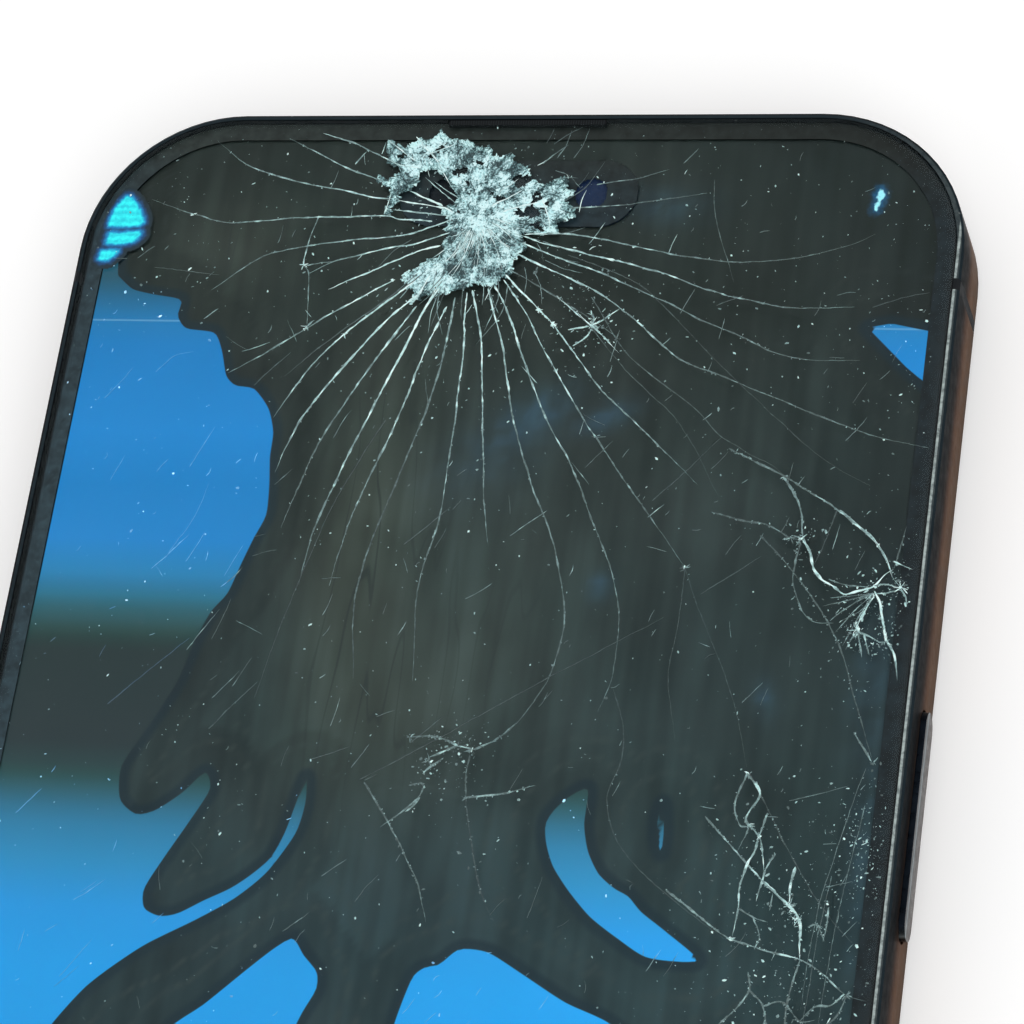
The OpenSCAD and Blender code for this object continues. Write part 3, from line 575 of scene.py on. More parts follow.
def display_finish():
    """Dead teal display with a painted reflection, lit picture inside the islands, navy rim between
    them.
    """
    f = Finish("display", {"Roughness": 0.35, "Specular IOR Level": 0.2, "Emission Strength": 1.0})
    height = f.remap(f.axis("Y"), -SCREEN_END_Y, SCREEN_END_Y)
    dead = f.ramp(height, up_the_screen(DEAD))
    dead = f.blend(f.remap(f.attribute("pale"), 0, 1, 0, 0.8), dead, (0.066, 0.080, 0.069))
    # Painted reflection: the dead display is made darker towards the right, and darker still in its
    # upper part.
    right = f.remap(f.axis("X"), 4, 36, 0, 0.60)
    upper = f.remap(f.axis("Y"), 15, 45)
    dead = f.blend(right, dead, f.blend(upper, (0.016, 0.034, 0.037), (0.012, 0.018, 0.020)))
    dead = f.blend(f.remap(f.attribute("blue_stain"), 0, 1, 0, 0.6), dead, (0.050, 0.100, 0.150))
    seams = f.clouds(0.82, 1.16, 1.3, 1, 0.5, (1, 0.06, 1))
    mottle = f.math("MULTIPLY", f.clouds(0.72, 1.26, 6, 2, 0.6, (1, 0.5, 1)), seams)
    mottle = f.math("MULTIPLY", mottle, f.remap(f.attribute("step"), 0, 1, 1.04, 0.80))
    dead = f.scale(dead, mottle)
    veins = f.math("ABSOLUTE", f.math("SUBTRACT", f.noise(2.6, 1, 0.5, (1, 0.10, 1)), 0.5))
    veins = f.math("MULTIPLY", f.remap(veins, 0.004, 0.014, 1, 0), f.attribute("pale"))
    dead = f.blend(f.math("MULTIPLY", veins, 0.6), dead, (0.022, 0.032, 0.034))
    rim = f.remap(f.math("ABSOLUTE", f.math("ADD", f.attribute("lit"), 0.35)), 0.2, 0.65, 0.7, 0)
    dead = f.blend(rim, dead, (0.012, 0.026, 0.040))
    dead = f.blend(f.attribute("flow"), dead, (0.050, 0.064, 0.066))
    picture = f.ramp(height, up_the_screen(PICTURE))
    picture = f.scale(picture, f.remap(f.axis("X"), -8, 20, 1.02, 1.20))
    line = f.remap(f.math("ABSOLUTE", f.math("SUBTRACT", f.axis("Y"), 60.3)), 0.03, 0.12, 0.30, 0)
    picture = f.blend(line, picture, (0.30, 0.62, 0.85))
    on = f.remap(f.attribute("lit"), -0.03, 0.05)
    inside = f.remap(f.attribute("frame"), 0, 0.06)
    on = f.math("MULTIPLY", on, inside)
    f.feed("Base Color", f.blend(on, dead, (0.0, 0.0, 0.0)))
    light = f.blend(on, (0.0, 0.0, 0.0), picture)
    dashes = f.noise(0.45, 1)
    ragged = f.math("ADD", f.attribute("cyan"), f.remap(dashes, 0.3, 0.7, -0.14, 0.14))
    halo = f.remap(ragged, -0.7, 0.0)
    light = f.blend(f.math("POWER", halo, 2.0), light, (0.001, 0.085, 0.21))
    stripes = f.math("SINE", f.math("MULTIPLY", f.axis("Y"), 2 * math.pi / 0.62))
    dots = f.remap(f.math("ADD", stripes, f.remap(dashes, 0.3, 0.7, -0.7, 0.7)), -1.2, 1.2)
    cyan_light = f.blend(dots, (0.002, 0.62, 0.78), (0.03, 0.99, 1.0))
    cyan_light = f.blend(f.remap(f.axis("X"), 20, 22), cyan_light, (0.36, 0.86, 0.98))
    f.feed("Emission Color", f.blend(f.remap(ragged, -0.04, 0.10), light, cyan_light))
    return f.material


# %% [markdown]
# ## Flow lines
# Leaked crystal dries in steps, so faint lines repeat the islands' outlines a few millimetres
# out. The same distance that draws an island draws these lines: a wave along the distance, with a
# little noise so that the lines wander, fading out six millimetres away.

# %% Make the display
wander = 1.3 * lattice_noise(at_x, at_y, 5, 41) + 0.35 * lattice_noise(at_x, at_y, 1.5, 42)
wave = np.maximum(np.cos((lit + wander) * 2 * math.pi / 1.9), 0) ** 10
flow = 0.5 * wave * smooth_step((-lit - 1.2) / 0.8) * smooth_step((lit + 8) / 5)
flow *= 0.35 + 0.65 * (at_y < 30)
reach = 4.6 + 2.2 * (lattice_noise(at_x, at_y, 9, 43) - 0.5)
dark_step = smooth_step((lit + reach) / 0.5) * (at_x < 0) + 0.25 * smooth_step((lit + 2.2) / 0.4)
display = make_piece("display_picture", panel_points, panel_faces, display_finish())
for name, values in (("lit", lit), ("cyan", cyan), ("frame", frame_in), ("pale", pale),
                     ("blue_stain", blue), ("flow", flow), ("step", dark_step)):
    store(display, name, values)
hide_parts("display_panel")
print("flow lines reach, mm:", round(float(-lit[flow > 0.05].min()), 1))

# %% [markdown]
# ## The black print under the glass
# The glass carries a printed border that hides the display's edge. It is a flat ring, so it is
# made as a closed profile carried round the phone's outline. The profile lists how far in and how
# high each of its points lies, and every point of the outline gets a copy of it, set in along the
# outline's own normal.

# %% A profile carried round the outline
def outline_path(w, l, r, arc_cells=20, side_cells=12):
    """Points and outward directions round a rounded rectangle, anticlockwise.

    Each corner is an arc of equal angles, and the straight sides between are divided evenly.
    """
    centres = [(w - r, -(l - r)), (w - r, l - r), (-(w - r), l - r), (-(w - r), -(l - r))]
    points, normals = [], []
    for number, (cx, cy) in enumerate(centres):
        turn = np.linspace(number - 1, number, arc_cells + 1) * math.pi / 2
        normal = np.column_stack([np.cos(turn), np.sin(turn)])
        points.append(np.array([cx, cy]) + r * normal)
        normals.append(normal)
        nx, ny = centres[(number + 1) % 4]
        start, end = points[-1][-1], np.array([nx, ny]) + r * normal[-1]
        t = np.linspace(0, 1, side_cells + 1)[1:-1, None]
        points.append(start + (end - start) * t)
        normals.append(np.repeat(normal[-1:], side_cells - 1, axis=0))
    return np.concatenate(points), np.concatenate(normals)


def profile_ring(w, l, r, profile):
    """Carries a closed profile of (inset, height) pairs round an outline, anticlockwise in section
    as seen along the path, so that its faces point outwards."""
    path, normal = outline_path(w, l, r)
    inset, height = np.asarray(profile, dtype=float).T
    xy = path[:, None, :] - normal[:, None, :] * inset[None, :, None]
    z = np.broadcast_to(height[None, :, None], (*xy.shape[:2], 1))
    points = np.concatenate([xy, z], axis=2).reshape(-1, 3)
    rows_count, ring = len(path), len(profile)
    index = np.arange(rows_count * ring).reshape(rows_count, ring)
    ahead = np.roll(index, -1, axis=0)
    side = np.roll(index, -1, axis=1)
    both = np.roll(ahead, -1, axis=1)
    faces = np.stack([index, ahead, both, side], axis=-1).reshape(-1, 4)
    return points, faces


def print_finish():
    """Near-black border ink: navy along the sides, neutral at the top, with a painted reflection:
    lighter on the left and darker to the right.
    """
    f = Finish("border_ink", {"Roughness": 0.4, "Specular IOR Level": 0.2})
    near_end = f.remap(f.axis("Y"), 70, 77)
    ink = f.blend(near_end, (0.017, 0.031, 0.040), (0.016, 0.022, 0.021))
    mottle = f.clouds(0.6, 1.4, 1.2, 2, 0.65)
    # Painted reflection: the ink is lighter on the left and darker to the right.
    mottle = f.math("MULTIPLY", mottle, f.remap(f.axis("X"), -36, 36, 1.35, 0.50))
    ink = f.scale(ink, mottle)
    pits = f.remap(f.cells(0.5), 0.03, 0.09, 0.6, 0)
    ink = f.blend(pits, ink, (0.05, 0.09, 0.12))
    rim = f.remap(f.math("ABSOLUTE", f.axis("X")), glass_w - 0.32, glass_w - 0.16)
    f.feed("Base Color", f.blend(rim, ink, (0.003, 0.005, 0.007)))
    f.bump(f.noise(0.15), 0.02, 0.3)
    return f.material


# %% Make the printed border
glass_w, glass_l = glass_high[0], glass_high[1]
ink_low, ink_high = z_under + 0.02, z_under + 0.05
ink_wide = LIT_INSET - (half_w - glass_w)
ink_profile = [(0.06, ink_low), (0.06, ink_high), (ink_wide, ink_high), (ink_wide, ink_low)]
GLASS_R = CORNER_R - (half_w - glass_w)
ink_points, ink_faces = profile_ring(glass_w, glass_l, GLASS_R, ink_profile)
ink_material = print_finish()
make_piece("glass_border_print", ink_points, ink_faces, ink_material)

# %% The print behind the camera window, open over each lens
LENS_OPENING = 0.36
mask_x, mask_y = np.meshgrid(np.arange(-10.6, 10.6, 0.14), np.arange(-3.3, 3.3, 0.14) + pill_y)
beyond = np.clip(np.abs(mask_x) - PILL_FLAT, 0, None)
mask_in = PILL_HALF_H + 0.1 - np.hypot(beyond, mask_y - pill_y)
for name in ("front_camera", "face_sensor"):
    lens_low, lens_high = box_mm(name)
    lens_x, lens_y = (lens_low[:2] + lens_high[:2]) / 2
    opening = LENS_OPENING * (lens_high[0] - lens_low[0]) / 2
    mask_in = np.minimum(mask_in, np.hypot(mask_x - lens_x, mask_y - lens_y) - opening)
mask_points, mask_faces, _ = cut_slab(mask_x, mask_y, ink_high - 0.005, ink_low, mask_in)
make_piece("camera_window_print", mask_points, mask_faces, ink_material)

# %% [markdown]
# ## Pixels stuck on
# At the left edge three groups of pixels are stuck fully on. Their light spills under the printed
# border, so they get a sheet of their own, just above the print: cyan inside, and a blue halo that
# falls to nothing within a millimetre.

# %% Stuck pixels at the left edge
def stuck_finish():
    """Striped cyan light with soft ragged edges, blue in the gaps and in the halo."""
    f = Finish("stuck_pixels", {"Roughness": 0.35, "Specular IOR Level": 0.2,
                                "Emission Strength": 1.0, "Base Color": (0.016, 0.028, 0.032)})
    grains = f.noise(0.35, 1)
    f.feed("Base Color", f.blend(grains, (0.012, 0.022, 0.028), (0.020, 0.034, 0.036)))
    ragged = f.math("ADD", f.attribute("cyan"), f.remap(grains, 0.3, 0.7, -0.07, 0.07))
    stripes = f.math("SINE", f.math("MULTIPLY", f.axis("Y"), 2 * math.pi / 0.7))
    dots = f.remap(f.math("ADD", stripes, f.remap(grains, 0.3, 0.7, -1.2, 1.2)), -1.6, 1.6)
    inner = f.blend(dots, (0.004, 0.60, 0.74), (0.02, 0.96, 0.99))
    edge = f.ramp(f.remap(ragged, -0.9, 0.3), [
        (0.0, (0, 0, 0)), (0.30, (0.0, 0.006, 0.022)), (0.52, (0.0, 0.045, 0.17)),
        (0.70, (0.0, 0.22, 0.52)), (0.84, (0.01, 0.70, 0.86)), (0.95, (0.03, 0.90, 0.95))])
    f.feed("Emission Color", f.blend(f.remap(ragged, 0.08, 0.24), edge, inner))
    return f.material


LEFT_LOBES = 3
HALO_REACH = 0.9
spot_x, spot_y = np.meshgrid(np.arange(-38.4, -31.8, 0.1), np.arange(64.6, 73.8, 0.1))
spot_cyan = np.max([inside_distance(spot_x, spot_y, o) for o in cyan_lobes[:LEFT_LOBES]], axis=0)
spot_in = np.minimum(spot_cyan + HALO_REACH,
                     edge_distance(spot_x, spot_y, glass_w, glass_l, GLASS_R) - 0.5)
spot_points, spot_faces, spot_used = cut_slab(spot_x, spot_y, ink_high + 0.008,
                                              ink_high + 0.003, spot_in)
stuck = make_piece("stuck_pixels", spot_points, spot_faces, stuck_finish())
store_sheet(stuck, "cyan", spot_cyan, spot_used)

# %% [markdown]
# ## The crushed crater
# One hard blow near the top turned the glass to crumbs. The crushed area has a ragged outline
# with dark gaps where crumbs fell out. Its places are measured from the blow. A helper gives how
# far a point lies inside the crushed area and outside the gaps, with noise that frays the edge.
# The noise runs along rays from the centre of the star, because cracks split the glass that way
# first.

# %% The crater's outline and gaps
impact = np.array([-2.8, half_l - 11.4])
star = impact + np.array([-0.2, 1.7])
CRATER = [
    (-9.5, 7.7), (-9.3, 8.7), (-8.4, 8.5), (-7.6, 8), (-6.6, 8.8), (-5.4, 9), (-4.6, 9.8),
    (-4, 9.2), (-2.7, 9), (-1.8, 8.5), (-1.4, 8), (0, 8.2), (0.2, 7.5), (1.6, 7.2), (2.8, 6.9),
    (3.4, 6.2), (4, 5.7), (4.4, 4.9), (5.4, 4.7), (6.8, 5.2), (7.1, 4.8), (7.1, 4.2),
    (7.8, 3.9), (7.3, 3), (7.7, 2.5), (8, 1.8), (7.6, 1.2), (6.7, 1), (6.8, 0.2), (5.8, -0.2),
    (4.2, -0.2), (4.1, -1.5), (3.8, -2.5), (3.3, -3.5), (2.7, -4.5), (1.8, -4.9), (0.3, -5.1),
    (-1.2, -5.6), (-2.4, -5.8), (-2.8, -5), (-3.6, -5.9), (-4.7, -6.8), (-4.8, -5.6),
    (-6.0, -4.7), (-5.7, -3.8), (-4.3, -2.9), (-3.1, -2.1), (-2.7, -1.3), (-2.7, -0.4),
    (-2.6, 0.8), (-3.0, 1.5), (-3.7, 2.2), (-2.6, 2.5), (-2.1, 3), (-2.5, 4), (-3.1, 4.5),
    (-3.9, 5.4), (-4.5, 6.2), (-5.1, 6), (-5.7, 5.8), (-6.2, 4.8), (-6.7, 3.7), (-7.4, 3.5),
    (-7.7, 2.9), (-8.1, 1.7), (-8.5, 1.8), (-8.4, 3), (-8.2, 3.8), (-8.6, 4.4), (-9.7, 4.8),
    (-9.5, 5.4), (-8.3, 5), (-7.9, 5.8), (-7.8, 6.5), (-9, 6.9)]
GAPS = [
    [(-5, 6.2), (-4.2, 6.4), (-4.1, 5.7), (-4.7, 5.5)],
    [(-2.9, 6), (-1.8, 6.2), (-1.9, 5.5), (-2.9, 5.5)],
    [(-1.3, 7), (-0.5, 7), (-0.4, 6.5), (-1.2, 6.5)],
    [(2.3, 5.2), (3, 5.7), (3.9, 5.2), (3.7, 4.5), (3, 4.2), (2.5, 4.5)],
    [(1.9, 6.2), (2.6, 6), (2.2, 5.4)],
    [(2.9, 2), (4.5, 2.7), (5, 2.2), (5.7, 1.4), (4.4, 1.4), (3.1, 1.5)],
    [(5.5, 3), (5.9, 2.8), (6.1, 1.5), (5.6, 1.5), (5.2, 2.4)],
    [(4.6, 4.2), (5.5, 3.5), (5.2, 3), (4.4, 3.4)],
    [(0.5, 3.9), (1.5, 3.5), (2, 2.9), (1.2, 3)],
    [(-2, 5.2), (-1.2, 4.9), (-1.4, 4.2), (-2.1, 4.5)],
    [(-1.8, 3.7), (-1.1, 3.9), (-1.4, 3)],
    [(-2.3, 2.5), (-1.6, 2), (-2.2, 1.8)],
    [(-0.6, 6), (0, 6), (-0.1, 5.2)],
    [(0.4, 5.7), (0.9, 5.5), (0.6, 4.8)],
    [(4.3, 1.2), (5.5, 1), (5.6, 0.2), (4.5, 0.2)],
    [(-8.4, 7.5), (-7.6, 7.5), (-7.6, 6.9), (-8.3, 6.9)],
    [(-5.8, 7.4), (-5, 7.4), (-5, 6.8), (-5.6, 6.7)],
    [(-4.9, 8), (-4.2, 8.4), (-4, 8), (-4.6, 7.7)]]


def ray_noise(x, y, along, across, seed):
    """Noise stretched along rays from the star: one axis is the distance from it, the other is the
    angle round it times four millimetres."""
    dx, dy = x - star[0], y - star[1]
    turn = (np.arctan2(dy, dx) + math.pi) * 4
    return lattice_noise(np.hypot(dx, dy) / along, turn / across, 1, seed)


def crushed(x, y):
    """Millimetres a point lies inside the crushed glass; negative outside it or in a gap."""
    depth = inside_distance(x, y, impact + np.array(CRATER))
    for gap in GAPS:
        depth = np.minimum(depth, -inside_distance(x, y, impact + np.array(gap)))
    fray = 0.5 * ray_noise(x, y, 1.2, 0.4, 51) + 0.45 * lattice_noise(x, y, 0.4, 52) - 0.38
    return depth + fray


print("crater gaps:", len(GAPS))

# %% [markdown]
# ## The cover glass
# The cover glass is a clear plate with a softly rounded rim, a notch for the earpiece, and a
# shallow pit under the crushed area. Its height is one formula of the place: the front height,
# less a round drop within a millimetre of the rim, less the pit, whose floor is broken into
# tilted facets. The facets come from scattered points: every place belongs to its nearest point,
# and each point has a slope of its own.

# %% The glass plate's sheet of points
NOTCH_HALF_W = 7.0
notch_depth = glass_l - mesh_low[1] + 0.05
RIM = (0, 0.04, 0.12, 0.25, 0.45, 0.8)
GLASS_SIDE_CELLS, GLASS_MIDDLE_CELLS = 50, 34
glass_rows = np.concatenate([
    -end_rows(glass_l, GLASS_R, 24), np.arange(-glass_l + GLASS_R + 2, 55, 2.5),
    np.arange(55, glass_l - GLASS_R, 0.4), end_rows(glass_l, GLASS_R, 44),
    glass_l - np.array([notch_depth, *RIM[1:]]), -glass_l + np.array(RIM[1:])])
glass_rows = np.sort(glass_rows)
glass_rows = glass_rows[np.insert(np.diff(glass_rows) > 0.008, 0, True)]
glass_outer = half_width(glass_rows, glass_w, glass_l, GLASS_R)
glass_inner = np.full(glass_rows.size, NOTCH_HALF_W)
glass_x, glass_y = block_sheet(glass_rows, glass_outer, glass_inner, GLASS_SIDE_CELLS,
                               GLASS_MIDDLE_CELLS, RIM)
print("glass rows and columns:", glass_x.shape)


def facets(x, y, size, seed):
    """A broken surface: each place takes the height of its nearest scattered point's own slope."""
    rng = np.random.default_rng(seed)
    count = int(20 * 20 / size ** 2)
    seeds = star + rng.uniform(-10, 10, (count, 2))
    slope = rng.uniform(-1, 1, (count, 2))
    level = rng.uniform(0, 1, count)
    heights = np.zeros(x.shape)
    near = np.hypot(x - star[0], y - star[1]) < 12
    px, py = x[near], y[near]
    owner = np.argmin((px[:, None] - seeds[:, 0]) ** 2 + (py[:, None] - seeds[:, 1]) ** 2, axis=1)
    lean = slope[owner, 0] * (px - seeds[owner, 0]) + slope[owner, 1] * (py - seeds[owner, 1])
    heights[near] = level[owner] + lean / size
    return heights


# %% Heights of the glass
PIT_DEPTH = 0.3
RIM_DROP = 0.14
rim_in = edge_distance(glass_x, glass_y, glass_w, glass_l, GLASS_R)
rim_drop = RIM_DROP * (1 - np.clip(rim_in / RIM[-1], 0, 1)) ** 2.2
pit = smooth_step(inside_distance(glass_x, glass_y, impact + np.array(CRATER)) / 0.9)
broken = pit * (0.55 + 0.45 * facets(glass_x, glass_y, 0.9, 61).clip(0, 1))
glass_top = z_front - rim_drop - PIT_DEPTH * broken
in_notch = (glass_rows[:-1] + glass_rows[1:]) / 2 > glass_l - notch_depth
glass_keep = np.ones((glass_rows.size - 1, glass_x.shape[1] - 1), dtype=bool)
side_columns = GLASS_SIDE_CELLS + len(RIM) - 1
notch_columns = np.arange(side_columns, side_columns + GLASS_MIDDLE_CELLS)
glass_keep[np.ix_(in_notch, notch_columns)] = False
glass_points, glass_faces, glass_used = close_slab(glass_x, glass_y, glass_top,
                                                   z_under + LAYER_GAP, glass_keep)
print("pit depth, mm:", round(float((PIT_DEPTH * broken).max()), 2))

# %% [markdown]
# ## Finish of clear glass
# Thin flat glass over a display doesn't need bent light: what matters is that it lets the display
# through and mirrors a little of the room, more at a low angle. So the finish mixes a transparent
# shader with a glossy one, and Fresnel decides how much of each, on the outer face only. A weak
# mirror over a dark display renders as grain, so only the tilted glass, at the rim and in the pit,
# has this mirror. Under the flat glass the display and the ink carry the same gloss themselves.

# %% Glass finish
def glass_finish(name, tint, reflect, rub):
    """Transparent and glossy, mixed by Fresnel; smears and hairline rubs tilt the mirror."""
    f = Finish(name, {})
    clear = f.add("BsdfTransparent", {"Color": tint})
    mirror = f.add("BsdfGlossy", {"Color": reflect, "Roughness": 0.08})
    smear = f.noise(4, 2, 0.6)
    lines = f.noise(0.35, 1, 0.5, (1, 0.06, 1))
    height = f.math("ADD", f.math("MULTIPLY", smear, 0.6), f.math("MULTIPLY", lines, 0.4))
    bump = f.add("Bump", {"Height": height, "Distance": rub * MM, "Strength": 0.5})
    f.tree.links.new(bump.outputs[0], mirror.inputs["Normal"])
    inner = f.add("NewGeometry", {}).outputs["Backfacing"]
    share = f.math("MULTIPLY", f.add("Fresnel", {"IOR": 1.22}).outputs[0], f.attribute("tilted"))
    share = f.math("MULTIPLY", share, f.math("SUBTRACT", 1.0, inner))
    mixed = f.add("MixShader", {0: share, 1: clear.outputs[0], 2: mirror.outputs[0]})
    f.tree.links.new(mixed.outputs[0], f.output.inputs["Surface"])
    f.tree.nodes.remove(f.shader)
    return f.material


cover = make_piece("cover_glass", glass_points, glass_faces,
                   glass_finish("cover_glass", (0.98, 1.0, 0.99), (0.80, 0.95, 1.0), 0.006))
tilted = np.maximum(np.clip(1.1 - rim_in / RIM[-1], 0, 1), pit)
store_sheet(cover, "tilted", tilted, glass_used)
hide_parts("front_glass")

# %% [markdown]
# ## Crumbs in the crater
# Crushed safety glass looks white because thousands of tiny faces each catch the light. Two
# pieces make it: a bed of powder with ridges, and loose splinters lying on it. The bed is a fine
# sheet that is kept only where the glass is crushed. A stored number, from dark gap to bright
# face, drives the colour, and it is drawn from noise stretched along the star's rays. The colour
# is partly the pale colour of crushed glass and partly a painted highlight on tilted faces.

# %% The powder bed
BED_STEP = 0.12
bed_x, bed_y = np.meshgrid(np.arange(impact[0] - 10.4, impact[0] + 8.8, BED_STEP),
                           np.arange(impact[1] - 7.2, impact[1] + 10.2, BED_STEP))
depth_in = crushed(bed_x, bed_y)
streak = ray_noise(bed_x, bed_y, 0.55, 0.30, 53)
fine = ray_noise(bed_x, bed_y, 0.25, 0.16, 54)
patch = lattice_noise(bed_x, bed_y, 1.1, 55)
shard_tilt = facets(bed_x, bed_y, 0.42, 56).clip(0, 1)
relief = 0.35 * streak + 0.25 * fine + 0.4 * shard_tilt
bed_top = z_front - 0.03 - 0.12 * (1 - relief) - 0.06 * (1 - np.clip(depth_in, 0, 1))
bed_points, bed_faces, bed_used = cut_slab(bed_x, bed_y, bed_top, bed_top - 0.05, depth_in)


def hub(x, y):
    """1 at the hub of the star, where the crushed glass is made darkest, 0 well away."""
    return np.exp(-(np.hypot(x - impact[0], y - impact[1] + 1.0) / 4.5) ** 2)


def loose_corner(x, y):
    """1 at the upper left corner of the crater, where thin plates lie loose and grey, 0 away."""
    return np.exp(-(np.hypot(x + 11.2, y - 76.3) / 1.9) ** 2)


plates = facets(bed_x, bed_y, 1.0, 57).clip(0, 1)
# Partly painted highlight: the facets (shard_tilt, plates) make some faces lighter, as if they
# caught the light.
frost = 0.22 * streak + 0.30 * fine + 0.26 * shard_tilt + 0.62 * patch + 0.46 * plates
frost -= 0.21 * hub(bed_x, bed_y) + 0.29
frost -= 0.20 * (1 - smooth_step(depth_in / 0.5))
frost -= 0.34 * loose_corner(bed_x, bed_y)


def frost_finish():
    """Crushed glass: dark teal gaps, through grey-green, to bright white with a cyan cast."""
    f = Finish("crushed_glass", {"Roughness": 0.35, "Specular IOR Level": 0.4})
    bright = f.attribute("frost")
    grains = f.remap(f.noise(0.16, 1, 0.6), 0.32, 0.68, -0.22, 0.22)
    joints = f.remap(f.cells(0.8, "DISTANCE_TO_EDGE"), 0.0, 0.09, -0.24, 0.0)
    bright = f.math("ADD", f.math("ADD", bright, grains), joints)
    colours = [(0.12, (0.022, 0.055, 0.062)), (0.28, (0.085, 0.165, 0.178)),
               (0.42, (0.21, 0.37, 0.39)), (0.56, (0.40, 0.63, 0.66)), (0.76, (0.72, 0.98, 1.0))]
    f.feed("Base Color", f.ramp(bright, colours))
    f.bump(f.cells(0.18), 0.05, 0.6)
    return f.material


crushed_glass = frost_finish()
bed = make_piece("crushed_bed", bed_points, bed_faces, crushed_glass)
store_sheet(bed, "frost", frost, bed_used)
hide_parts("crushed_glass_chips")


# %% Splinters
def splinters(centres, sizes, turns, seed, z_top):
    """Thin wedges: four corners on the ground and two along a raised ridge, turned and scattered.

    Each is stretched along its own direction, and its ridge leans to one side by a random share.
    """
    rng = np.random.default_rng(seed)
    count = len(centres)
    shape = np.array([[-1, -0.32, 0], [1, -0.18, 0], [0.85, 0.25, 0], [-0.9, 0.3, 0],
                      [-0.55, 0.05, 1], [0.6, -0.02, 1]])
    jitter = rng.uniform(-0.22, 0.22, (count, 6, 3)) * np.array([1, 1, 0.8])
    local = (shape + jitter) * sizes[:, None, None] * np.array([1, 1, 0])
    c, s = np.cos(turns)[:, None], np.sin(turns)[:, None]
    x = centres[:, 0, None] + local[:, :, 0] * c - local[:, :, 1] * s
    y = centres[:, 1, None] + local[:, :, 0] * s + local[:, :, 1] * c
    lift = np.where(shape[None, :, 2] > 0, rng.uniform(0.03, 0.12, (count, 6)), 0)
    z = z_top - 0.12 + lift
    corners = np.array([[0, 3, 2, 1], [0, 1, 5, 4], [2, 3, 4, 5]])
    thirds = np.array([[1, 2, 5], [3, 0, 4]])
    offset = np.arange(count)[:, None, None] * 6
    faces = [tuple(f) for f in (corners + offset).reshape(-1, 4)]
    faces += [tuple(f) for f in (thirds + offset).reshape(-1, 3)]
    return np.stack([x, y, z], axis=-1).reshape(-1, 3), faces


SPLINTER_TRIES = 12000
rng = np.random.default_rng(71)
spots = impact + rng.uniform([-10.2, -7], [8.6, 10], (SPLINTER_TRIES, 2))
spots = spots[crushed(spots[:, 0], spots[:, 1]) > 0.10]
away = spots - star
aim = np.arctan2(away[:, 1], away[:, 0]) + rng.normal(0, 0.5, len(spots))
length = rng.gamma(2.0, 0.075, len(spots)).clip(0.04, 0.70)
shard_points, shard_faces = splinters(spots, length, aim, 72, z_front - 0.01)
shards = make_piece("crushed_splinters", shard_points, shard_faces, crushed_glass)
shade = rng.choice([0.16, 0.36, 0.54, 0.70, 0.86], len(spots), p=[0.16, 0.15, 0.20, 0.26, 0.23])
clump = 0.6 * lattice_noise(spots[:, 0], spots[:, 1], 1.1, 55)
clump += 0.4 * facets(spots[:, 0], spots[:, 1], 1.0, 57).clip(0, 1)
shade = 0.50 * shade + 1.0 * clump - 0.19
shade -= 0.17 * hub(spots[:, 0], spots[:, 1])
shade -= 0.26 * loose_corner(spots[:, 0], spots[:, 1])
store(shards, "frost", np.repeat(shade.clip(0, 1), 6))

# %% [markdown]
# ## Cracks
# A crack in glass is a thin wall of air that shines where it faces the light. Each crack here is
# a slim wedge sunk in the glass, with a painted highlight: a bright line at the top that narrows
# to an edge below, so it also reads from the side. It follows a curve through a few points and
# wavers by a hair. It is widest where it starts, at the blow, and runs out to nothing at its far
# end. Cracks are bright near a blow and fade away from it, and beads of crushed glass along them
# get painted glints.

# %% One crack as a wedge along a curve
def measured_line(points):
    """The curve through a crack's points, and how far along it each of the curve's points is."""
    curve = smooth_line(points, steps=6, pull=0.42)
    legs = np.hypot(*np.diff(curve, axis=0).T)
    return curve, np.concatenate([[0], np.cumsum(legs)])


def crack_wedge(points, width, depth, seed, sunk=0.0):
    """Points and faces of a wedge along a curve.

    At each station the section is a triangle: left and right at the top, half the width either
    side along the curve's normal, and a low edge beneath. The width eases down along the crack and
    tapers over its last fifth, and noise changes it from station to station.
    """
    curve, run = measured_line(points)
    count = max(5, int(run[-1] / 0.22))
    s = np.linspace(0, run[-1], count)
    x, y = np.interp(s, run, curve[:, 0]), np.interp(s, run, curve[:, 1])
    dx, dy = np.gradient(x), np.gradient(y)
    size = np.hypot(dx, dy) + 1e-9
    normal = np.column_stack([-dy / size, dx / size])
    waver = 0.10 * (lattice_noise(s, 0 * s + seed, 1.6, 81) - 0.5)
    waver += 0.05 * (lattice_noise(s, 0 * s + seed, 0.4, 82) - 0.5)
    centre = np.column_stack([x, y]) + normal * waver[:, None]
    share = s / run[-1]
    taper = (1 - 0.35 * share) * np.minimum(1, (1 - share) / 0.2) ** 0.6
    taper *= np.minimum(1, 0.4 + s / 0.3)
    thick = width * taper * (0.30 + 1.4 * lattice_noise(s, 0 * s + seed, 0.35, 83)) / 2
    top = z_front - 0.010 - sunk
    left = np.column_stack([centre + normal * thick[:, None], np.full(count, top)])
    right = np.column_stack([centre - normal * thick[:, None], np.full(count, top)])
    low = np.column_stack([centre, top - depth * (0.3 + 0.7 * taper)])
    points = np.stack([left, low, right], axis=1).reshape(-1, 3)
    index = np.arange(count * 3).reshape(count, 3)
    side = np.roll(index, -1, axis=1)
    faces = np.stack([index[:-1], index[1:], side[1:], side[:-1]], axis=-1).reshape(-1, 4)
    ends = [(index[0, 0], index[0, 1], index[0, 2]), (index[-1, 2], index[-1, 1], index[-1, 0])]
    return points, [tuple(f) for f in faces] + ends


# %% [markdown]
# ## How bright a crack is
# Three numbers decide it: how near the crack is to a blow, how strong it was drawn, and fine
# beads, which are painted glints. Over a glowing island a crack lights up from behind, so each
# point also stores whether it lies over an island, and the finish paints such places with a pale
# blue glow, as emission.

# %% Brightness and finish of cracks
SECOND_BLOW = (35.6, 38)
NET_MIDDLE = (29.5, 12)


